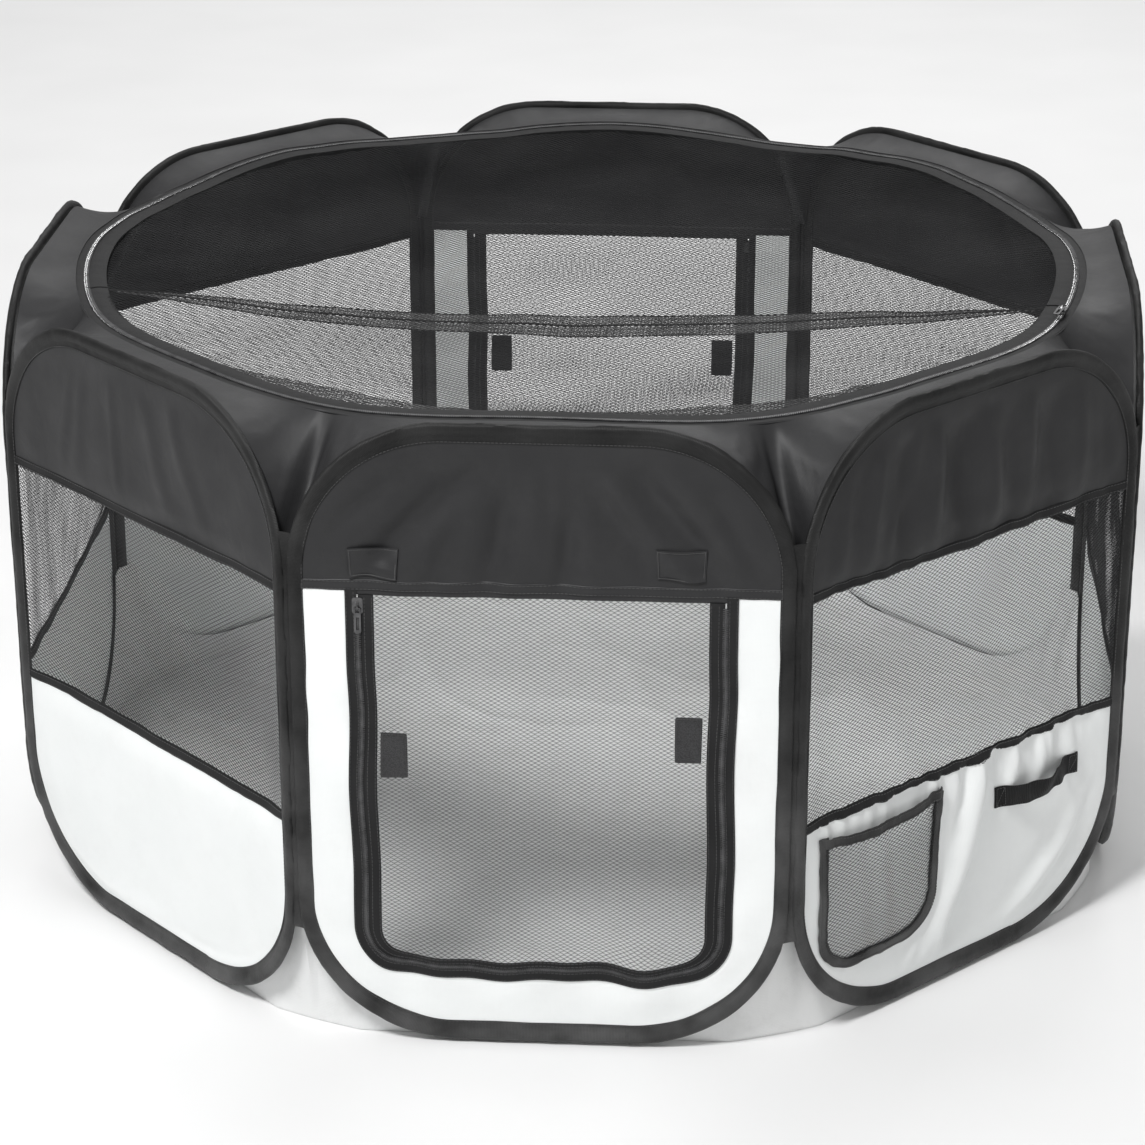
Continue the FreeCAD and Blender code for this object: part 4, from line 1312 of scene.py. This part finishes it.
def build_pocket(stitching):
    net_u = (POCKET_U[0] - 0.005, POCKET_U[1] + 0.005, POCKET_U[2] - 0.005)
    attach(netting("pocket_netting",
                   lambda x, y, z: warp(POCKET_PANEL, x, y + pocket_out(x, z), z),
                   (-0.21, -0.03, 0.06, 0.22),
                   lambda x, z: (in_u(x - POCKET_X, z, net_u, 1.0)
                                 & (z < pocket_top(x) + 0.001))),
           POCKET_BODY, "netting", "pocket_net")
    # binding down the sides and along the bottom
    path, normals, lengths = u_path(POCKET_U, POCKET_TOP - 0.001, 260, BINDING_HALF)
    sway = 0.0011 * noise1(lengths / 0.021, 47) * np.sin(math.pi * lengths / lengths[-1])
    path = path + normals * sway[:, None]
    swell = 1 + 0.09 * noise1(lengths / 0.008, 44)
    attach(sweep("pocket_binding_side",
                 warp(POCKET_PANEL, path[:, 0] + POCKET_X, 0.0024, path[:, 1]),
                 in_plane(POCKET_PANEL, normals), outward(POCKET_PANEL),
                 flat_section(0.0056, 0.0017, 3.2) * swell[:, None, None], BINDING),
           POCKET_BODY, "black_binding", "pocket_binding")
    # binding along the top
    x = np.linspace(POCKET_X - POCKET_HALF + 0.001, POCKET_X + POCKET_HALF - 0.001, 120)
    z = pocket_top(x)
    swell = 1 + 0.08 * noise1(x / 0.007, 45)
    attach(sweep("pocket_binding_top", warp(POCKET_PANEL, x, pocket_out(x, z) + 0.0002, z), UP,
                 outward(POCKET_PANEL),
                 flat_section(BINDING_HALF, 0.0015, 3.2) * swell[:, None, None], BINDING),
           POCKET_BODY, "black_binding", "pocket_binding")
    spacing = dict(pitch=0.0032, stitch=0.0022)
    for inset in (0.0022, 0.0090):
        stitching.u_row(POCKET_U, POCKET_TOP - 0.004, inset, y=0.0041, centre_x=POCKET_X,
                        count=260, **spacing)
    for rise in (-0.0036, 0.0036):
        def point(t):
            top = pocket_top(t)
            return warp(POCKET_PANEL, t, pocket_out(t, top) + 0.0018, top + rise)
        stitching.row(point, POCKET_X - POCKET_HALF + 0.006, POCKET_X + POCKET_HALF - 0.006,
                      2 * POCKET_HALF - 0.012, **spacing)


def build_strap(stitching):
    """Webbing sewn down at both ends, standing proud between."""
    s, v = np.meshgrid(np.linspace(0, 1, 90), np.linspace(-0.5, 0.5, 11), indexing="ij")
    x = STRAP_LEFT + STRAP_LENGTH * s
    z = (STRAP_Z + STRAP_WIDTH * v * (1 - 0.07 * np.sin(math.pi * s))
         - 0.0022 * ramp_up(0.04, 0.35, s) + 0.0052 * ramp_up(0.55, 0.66, s))
    hump = 0.0105 * ramp_up(0.10, 0.32, s) * ramp_up(0.90, 0.68, s)
    twist = 1 + 0.35 * v * ramp_up(0.70, 0.60, s) * ramp_up(0.3, 0.5, s)
    y = (0.0016 + hump * twist + 0.0008 * np.cos(v * math.pi) * np.sin(math.pi * s)
         + 0.0005 * noise2(s * 8, v * 2, 61))
    attach(panel_sheet(POCKET_PANEL, "side_strap_webbing", x, y, z, 0.0017, WEBBING),
           POCKET_BODY, "webbing", "side_strap")
    # at each end, a stitched box with one diagonal; the right one sits higher
    for start, end, rise in ((0.012, 0.095, 0.0), (0.905, 0.988, 0.0030)):
        stitching.polyline(
            lambda a, b: warp(POCKET_PANEL, STRAP_LEFT + STRAP_LENGTH * a, 0.0028,
                              STRAP_Z + rise + STRAP_WIDTH * b),
            ((start, -.42), (end, -.42), (end, .42), (start, .42), (start, -.42), (end, .42)),
            (STRAP_LENGTH, STRAP_WIDTH), pitch=0.0026, stitch=0.0019)


pocket_stitching = Stitching(POCKET_PANEL)
build_pocket(pocket_stitching)
build_strap(pocket_stitching)
attach(pocket_stitching.piece("pocket_stitching"), POCKET_BODY, "black_binding")

# ------------------------------------------------------------------ collar, floor, gussets
RING_INSET = 0.006                       # ring-wide cloth meets the panels inside their planes
RING_HALF = 0.235 - RING_INSET * math.tan(math.radians(22.5))
GUSSET_Z = 0.0250


def rim_wave(angle):
    """The rim rides up at each hoop and sinks at each corner."""
    quarter = angle + math.pi / 2
    return (0.0042 * np.cos(8 * quarter) - 0.0012 + 0.0012 * np.sin(3 * angle + 0.4)
            + 0.0011 * noise1(np.mod(angle, 2 * math.pi) * 11, 701)
            * np.sin(np.mod(quarter, 2 * math.pi) / 2))


def top_line(x):
    return TOP - 0.007 - corner_drop(np.abs(x) - (HALF - TOP_RADIUS), 0.138)


def bottom_line(x):
    return GUSSET_Z + corner_drop(np.abs(x) - (HALF - BOTTOM_RADIUS), BOTTOM_RADIUS - GUSSET_Z)


def hoop_ring(line, per_panel):
    """Points all round at height line(x), their angles, and how near each is to a corner."""
    t = np.linspace(-1, 1, per_panel, endpoint=False)
    x = RING_HALF * (t * 0.75 + 0.25 * np.sin(t * math.pi / 2))
    ring = np.concatenate([place(panel, x, -RING_INSET, line(x)) for panel in range(8)])
    notch = ramp_up(0.10, 0.22, np.abs(np.tile(x, 8)))
    return ring, np.arctan2(ring[:, 1], ring[:, 0]), notch


def build_collar():
    """Black cloth from the hoops' tops in to the rim."""
    outer, angle, notch = hoop_ring(top_line, 56)
    inner = polar(RIM_OUT - 0.001, angle, RIM_Z + 0.0014 + rim_wave(angle))
    t = np.linspace(0, 1, 12)[:, None]
    arch = np.sin(math.pi * t)
    arc = np.unwrap(angle) * 0.55
    fold = ((0.0026 * noise1(arc / 0.034, 501) + 0.0012 * noise1(arc / 0.016, 502))
            * arch * (0.35 + 0.65 * notch))
    grid = outer * (1 - t[..., None]) + inner * t[..., None]
    grid = grid + polar(1.0, angle, 0.0) * (fold + 0.0050 * arch * notch)[..., None]
    grid[..., 2] += -0.003 * arch * (0.4 + 0.6 * notch) + 0.6 * fold
    pinned = np.zeros(grid.shape[:2], bool)
    pinned[[0, -1]] = True
    grid = settle([grid], [pinned], [np.full(pinned.shape, 0.45)], frames=16, wrap=True)[0]
    grid = doubled(doubled(grid, 0), 1, wrap=True)
    rows, columns = grid.shape[:2]
    uv = points(np.arange(columns) * 3.4 / columns, np.linspace(0, 0.1, rows)[:, None])
    attach_ring(solid_grid("collar_cloth", grid, CLOTH_THICK, uv, BLACK, UP, wrap=True),
                "panel_front", "black_cloth", "collar")


def floor_radius(angle):
    """The floor's outline: an octagon with its corners cut off."""
    from_middle = np.mod(angle + math.pi / 2 + math.pi / 8, math.pi / 4) - math.pi / 8
    return np.minimum(FLOOR_EDGE / np.cos(from_middle), FLOOR_EDGE * 1.050)


def build_floor():
    """Crumpled sheet that stays on or above the ground, and a small disc in its middle."""
    def creases(x, y, scale, seed):
        return (1 - np.abs(noise2(x * scale, y * scale, seed))) ** 6
    angle = np.arange(420) * 2 * math.pi / 420
    share = np.linspace(0.02, 1, 90)[:, None]
    edge = floor_radius(angle)
    x, y = share * edge * np.cos(angle), share * edge * np.sin(angle)
    rise = (0.0075 * creases(x + 0.3 * y, y, 4.0, 611)
            + 0.0050 * creases(x, y + 0.4 * x, 7.5, 612)
            + 0.0024 * creases(x - y, y, 15.0, 613))
    rise = rise * ramp_up(1.0, 0.93, share) * ramp_up(0.02, 0.08, share)
    sheet = points(x, y, 0.0008 + rise)
    middle = polar(np.array([[0.0005], [1.0]]) * edge * 0.0203, angle, 0.0009)
    for name, grid, nodes in (("floor_cloth_sheet", sheet, ["floor"]),
                              ("floor_cloth_middle", middle, [])):
        ob = solid_grid(name, grid, 0.0012, grid[..., :2], FLOOR, UP, wrap=True)
        attach_ring(ob, "panel_front", "floor_cloth", *nodes)


def build_gussets():
    """Floor cloth from the hoops' bottoms in to the floor's edge."""
    outer, angle, notch = hoop_ring(bottom_line, 84)
    inner = polar(floor_radius(angle) - 0.0006, angle, 0.0016)
    t = np.linspace(0, 1, 16)[:, None]
    arch = np.sin(math.pi * t)
    arc = np.unwrap(angle) * 0.6
    fold = ((0.0035 * noise1(arc / 0.028, 521) + 0.0018 * noise1(arc / 0.011, 522))
            * arch * (0.15 + 0.85 * notch))
    grid = outer * (1 - t[..., None]) + inner * t[..., None]
    grid = grid + polar(1.0, angle, 0.0) * (fold - 0.004 * arch * notch)[..., None]
    attach_ring(solid_grid("gusset_cloth", grid, CLOTH_THICK, points(arc, t * 0.1), FLOOR, -UP,
                           wrap=True),
                "panel_front", "floor_cloth", "floor_gussets")


build_collar()
build_floor()
build_gussets()

# ------------------------------------------------------------------ rim and roof
SPHERE = (ROOF_RADIUS ** 2 + ROOF_SAG ** 2) / (2 * ROOF_SAG)    # radius of the sagging roof
BAND_END = 0.470                         # half length of the doubled band across the roof
NET_RADIUS = ROOF_RADIUS - 0.0185
NET_LIMIT = 0.52
DOUBLED_DROP = 0.0014                    # doubled netting hangs below the roof's netting
# the front and rear parts meet at a chord: name, side of it, start and end angle, body
CHORD_ANGLE = math.asin(CHORD_Y / CHAIN_RADIUS)
FRONT_PART = ("front", -1, -math.pi - CHORD_ANGLE + 0.004, CHORD_ANGLE - 0.004, "roof_flap")
REAR_PART = ("rear", 1, CHORD_ANGLE + 0.004, math.pi - CHORD_ANGLE - 0.004, "panel_front")


def band_width(x):
    return (0.0325 * (1 - np.clip(np.abs(x) / BAND_END, 0, 1) ** 2.6) + 0.0016
            + 0.0012 * np.sin(x * 8))


def roof_z(x, y):
    """Sagging roof with soft waves, radial ones near the rim."""
    square = np.minimum(x * x + y * y, ROOF_RADIUS ** 2)
    angle = np.arctan2(y, x)
    inward = np.clip(1 - np.sqrt(square) / ROOF_RADIUS, 0, 1)
    sagging = RIM_Z - (np.sqrt(SPHERE * SPHERE - square) - (SPHERE - ROOF_SAG))
    waves = 0.0028 * noise2(x * 7, y * 7, 702) + 0.0012 * noise2(x * 20, y * 9, 703)
    radial = (0.0022 * noise1(angle * 16, 704) * np.exp(-inward / 0.08)
              * ramp_up(0, 0.02, inward))
    return (sagging + waves * ramp_up(0, 0.2, inward) + radial
            + rim_wave(angle) * np.exp(-inward / 0.05))


def ring_strip(name, inner, outer, z, angle, rows, crown, loop=False):
    """Flat strip of tape along the rim."""
    t = np.linspace(0, 1, rows)[:, None]
    arch = np.sin(math.pi * t)
    z = z + rim_wave(angle) + crown * arch + 0.0003 * noise1(angle * 60, 705) * arch
    return solid_grid(name, polar(inner + (outer - inner) * t, angle, z), 0.0016,
                      points(angle * inner, t * (outer - inner)), TAPE, UP, wrap=loop)


def roof_cord(name, side, half, offset, width, drop, seed):
    """Cord along the roof beside the chord; offset(x) is its distance from it."""
    x = np.linspace(-half, half, 320)
    y = CHORD_Y + side * offset(x) + 0.0004 * noise1(x / 0.02, seed)
    centres = points(x, y, roof_z(x, y) - drop)
    tangent = unit(np.gradient(centres, axis=0))
    level = np.cross(UP, tangent)
    return sweep(name, centres, level, np.cross(tangent, level),
                 flat_section(width, 0.0005, 2.4), TAPE)


def rim_teeth(name, side, start, end):
    """Half of the rim's zip chain: side 1 on the rim, -1 on the roof."""
    pitch = 0.0021 / CHAIN_RADIUS
    angle = np.arange(start, end, pitch) + (pitch / 2 if side < 0 else 0)
    centres = polar(CHAIN_RADIUS + 0.0009 * side, angle, RIM_Z + 0.0017 + rim_wave(angle))
    axes = (polar(1.0, angle, 0.0), points(-np.sin(angle), np.cos(angle), 0.0),
            np.broadcast_to(UP, centres.shape))
    return bars(name, centres, axes, (0.0020, 0.0007, 0.00095), TOOTH, COIL,
                uv_step=0.004, angle=40)


def build_rim():
    whole = np.linspace(0.0, 2 * math.pi, 720, endpoint=False)
    attach_ring(ring_strip("rim_zip_tape", CHAIN_RADIUS + 0.0004, RIM_OUT + 0.0010, RIM_Z,
                           whole, rows=7, crown=0.0005, loop=True),
                "panel_front", "zip_tape", "rim_zip")
    cut_half = math.sqrt((ROOF_RADIUS - 0.004) ** 2 - CHORD_Y ** 2)
    for name, side, start, end, body in (FRONT_PART, REAR_PART):
        slots = (body, "black_binding", "roof_hem_" + name)
        attach_ring(ring_strip("roof_hem_arc_" + name, ROOF_RADIUS - 0.0200, ROOF_RADIUS,
                               RIM_Z - 0.0002, np.linspace(start, end, 460), rows=9,
                               crown=0.0012), *slots)
        # along the cut edge, and along the edge of the doubled netting
        attach_ring(roof_cord("roof_cord_%s_1" % name, side, cut_half, lambda x: 0.0011,
                              width=0.0004, drop=0.0, seed=720), *slots)
        attach_ring(roof_cord("roof_cord_%s_2" % name, side, BAND_END, band_width,
                              width=0.0009, drop=0.0012, seed=721), *slots)
    attach_ring(rim_teeth("rim_zip_coil", 1, -math.pi, math.pi - 0.002), "panel_front",
                "zip_tape")
    for name, _, start, end, body in (REAR_PART, FRONT_PART):
        attach_ring(rim_teeth("roof_zip_coil_" + name, -1, start, end), body, "zip_tape")


def roof_net(name, side, left, right, z_range):
    """One part of the roof's netting, between two x limits."""
    def inside(x, y):
        beyond = y > CHORD_Y + 0.0008 if side > 0 else y < CHORD_Y - 0.0008
        return (x * x + y * y < NET_RADIUS * NET_RADIUS) & beyond & (x >= left) & (x < right)
    return netting(name, lambda x, out, y: points(x, y, roof_z(x, y) + out),
                   (max(left, -NET_LIMIT), min(right, NET_LIMIT)) + z_range, inside,
                   None, 0.00022, 0.00018, WIDE_CELL)


def doubled_net(name, shift_x, shift_y, box, inside, radius, depth):
    """Netting under the roof's own, shifted sideways from it."""
    return netting(
        # drawn in the lighter netting colour that paints a sheen on the strands
        name,
        lambda x, out, y: points(x + shift_x, y + shift_y, roof_z(x, y) + out - DOUBLED_DROP),
        box, inside, DOUBLED_NETTING_PAINTED_SHEEN, radius, depth)


def build_roof_netting():
    # in parts, so that each mesh stays light; the outermost limits lie beyond the roof
    for name, side, body, limits, y_range in (
            ("rear", 1, "panel_front", (-1.0, -0.22, 0.0, 0.22, 1.0), (-0.14, NET_LIMIT)),
            ("front", -1, "roof_flap", (-1.0, 0.0, 1.0), (-NET_LIMIT, -0.13))):
        for i, (left, right) in enumerate(zip(limits, limits[1:])):
            attach_ring(roof_net("roof_netting_%s_%d" % (name, i + 1), side, left, right,
                                 y_range),
                        body, "netting", "roof_net_" + name)
    # doubled across the roof on both sides of the chord
    for name, side, _, _, body in (FRONT_PART, REAR_PART):
        def in_band(x, y):
            off = side * (y - CHORD_Y)
            return (np.abs(x) < BAND_END) & (off > 0.0006) & (off < band_width(x))
        attach_ring(doubled_net("roof_band_netting_%s_1" % name, 0.0008, side * 0.0006,
                                (-0.5, 0.5, CHORD_Y - 0.038, CHORD_Y + 0.038), in_band,
                                radius=0.00030, depth=0.00024),
                    body, "netting")

    # and doubled along the front of the rim
    def at_front_rim(x, y):
        radius = np.hypot(x, y)
        turn = np.arctan2(y, x) + math.pi / 2
        width = (0.036 * ramp_up(-0.95, -0.45, turn) * ramp_up(0.95, 0.55, turn)
                 * (0.85 + 0.15 * np.sin(turn * 9)))
        return (radius < NET_RADIUS + 0.002) & (radius > NET_RADIUS - width)
    attach_ring(doubled_net("roof_rim_netting_1", 0.0016, 0.00072, (-0.45, 0.45, -0.52, -0.20),
                            at_front_rim, radius=0.00028, depth=0.00022),
                "roof_flap", "netting")


def use_material(ob, material):
    ob.data.materials.clear()
    ob.data.materials.append(material)


def build_roof_slider():
    """A copy of the frame's slider, carried on the roof slider's body."""
    ob = bpy.data.objects.new("roof_zip_slider_metal", frame["nodes"]["roof_slider"].data.copy())
    bpy.context.scene.collection.objects.link(ob)
    use_material(ob, METAL)
    attach_ring(ob, "roof_zip_slider", "zip_metal", "roof_slider")


build_rim()
build_roof_netting()
build_roof_slider()

# the frame's own hoops and door sliders stay
for name, node in frame["nodes"].items():
    if name.startswith("wire_hoop"):
        use_material(node, WIRE)
    elif name.startswith("door_slider"):
        use_material(node, METAL)


# ------------------------------------------------------------------ stage, light, camera
def build_stage():
    shader = Shader("studio_floor")
    colour = shader.ramp(shader.noise(scale=3), (0.3, 0.80), (0.7, 0.83))
    material = shader.surface(Base_Color=colour, Roughness=0.85)
    reach, z = 30, -0.0004
    verts = [(-reach, -reach, z), (reach, -reach, z), (reach, reach, z), (-reach, reach, z)]
    make("studio_floor", verts, [[(0, 1, 2, 3)]], None, material)


def area_light(name, location, size, power, target=(0, 0, 0.3)):
    light = bpy.data.lights.new(name, "AREA")
    light.shape, light.size, light.energy = "DISK", size, power
    ob = bpy.data.objects.new(name, light)
    bpy.context.scene.collection.objects.link(ob)
    ob.location = location
    aim = Vector(target) - Vector(location)
    ob.rotation_euler = aim.to_track_quat("-Z", "Y").to_euler()


def build_camera():
    """Looks at the pen from the front, a little from the right and above."""
    azimuth, elevation = math.radians(3.69), math.radians(22.68)
    distance = 3.613
    target = Vector((0, 0, 0.2547))
    back = Vector((math.sin(azimuth) * math.cos(elevation),
                   -math.cos(azimuth) * math.cos(elevation), math.sin(elevation)))
    camera = bpy.data.cameras.new("camera")
    camera.sensor_width = 36.0
    camera.lens = 103.8849755
    camera.shift_x = -0.0076
    camera.shift_y = 0.0009
    ob = bpy.data.objects.new("camera", camera)
    bpy.context.scene.collection.objects.link(ob)
    ob.location = target + back * distance
    ob.rotation_euler = (-back).to_track_quat("-Z", "Y").to_euler()
    bpy.context.scene.camera = ob


build_stage()
world = bpy.data.worlds.new("studio")
bpy.context.scene.world = world
world.use_nodes = True
background = world.node_tree.nodes["Background"]
background.inputs["Color"].default_value = (1.0, 1.0, 1.0, 1)
background.inputs["Strength"].default_value = 0.42
area_light("key", (-0.89, -2.2, 3.13), size=0.8, power=110)
area_light("fill", (3.0, -2.4, 1.8), size=2.4, power=6)
area_light("back", (0.8, 3.2, 3.0), size=2.0, power=14)
area_light("sweep", (0.0, 3.6, 4.4), size=5.0, power=120, target=(0, 3.6, 0.0))
build_camera()
bpy.context.scene.view_settings.view_transform = "Standard"
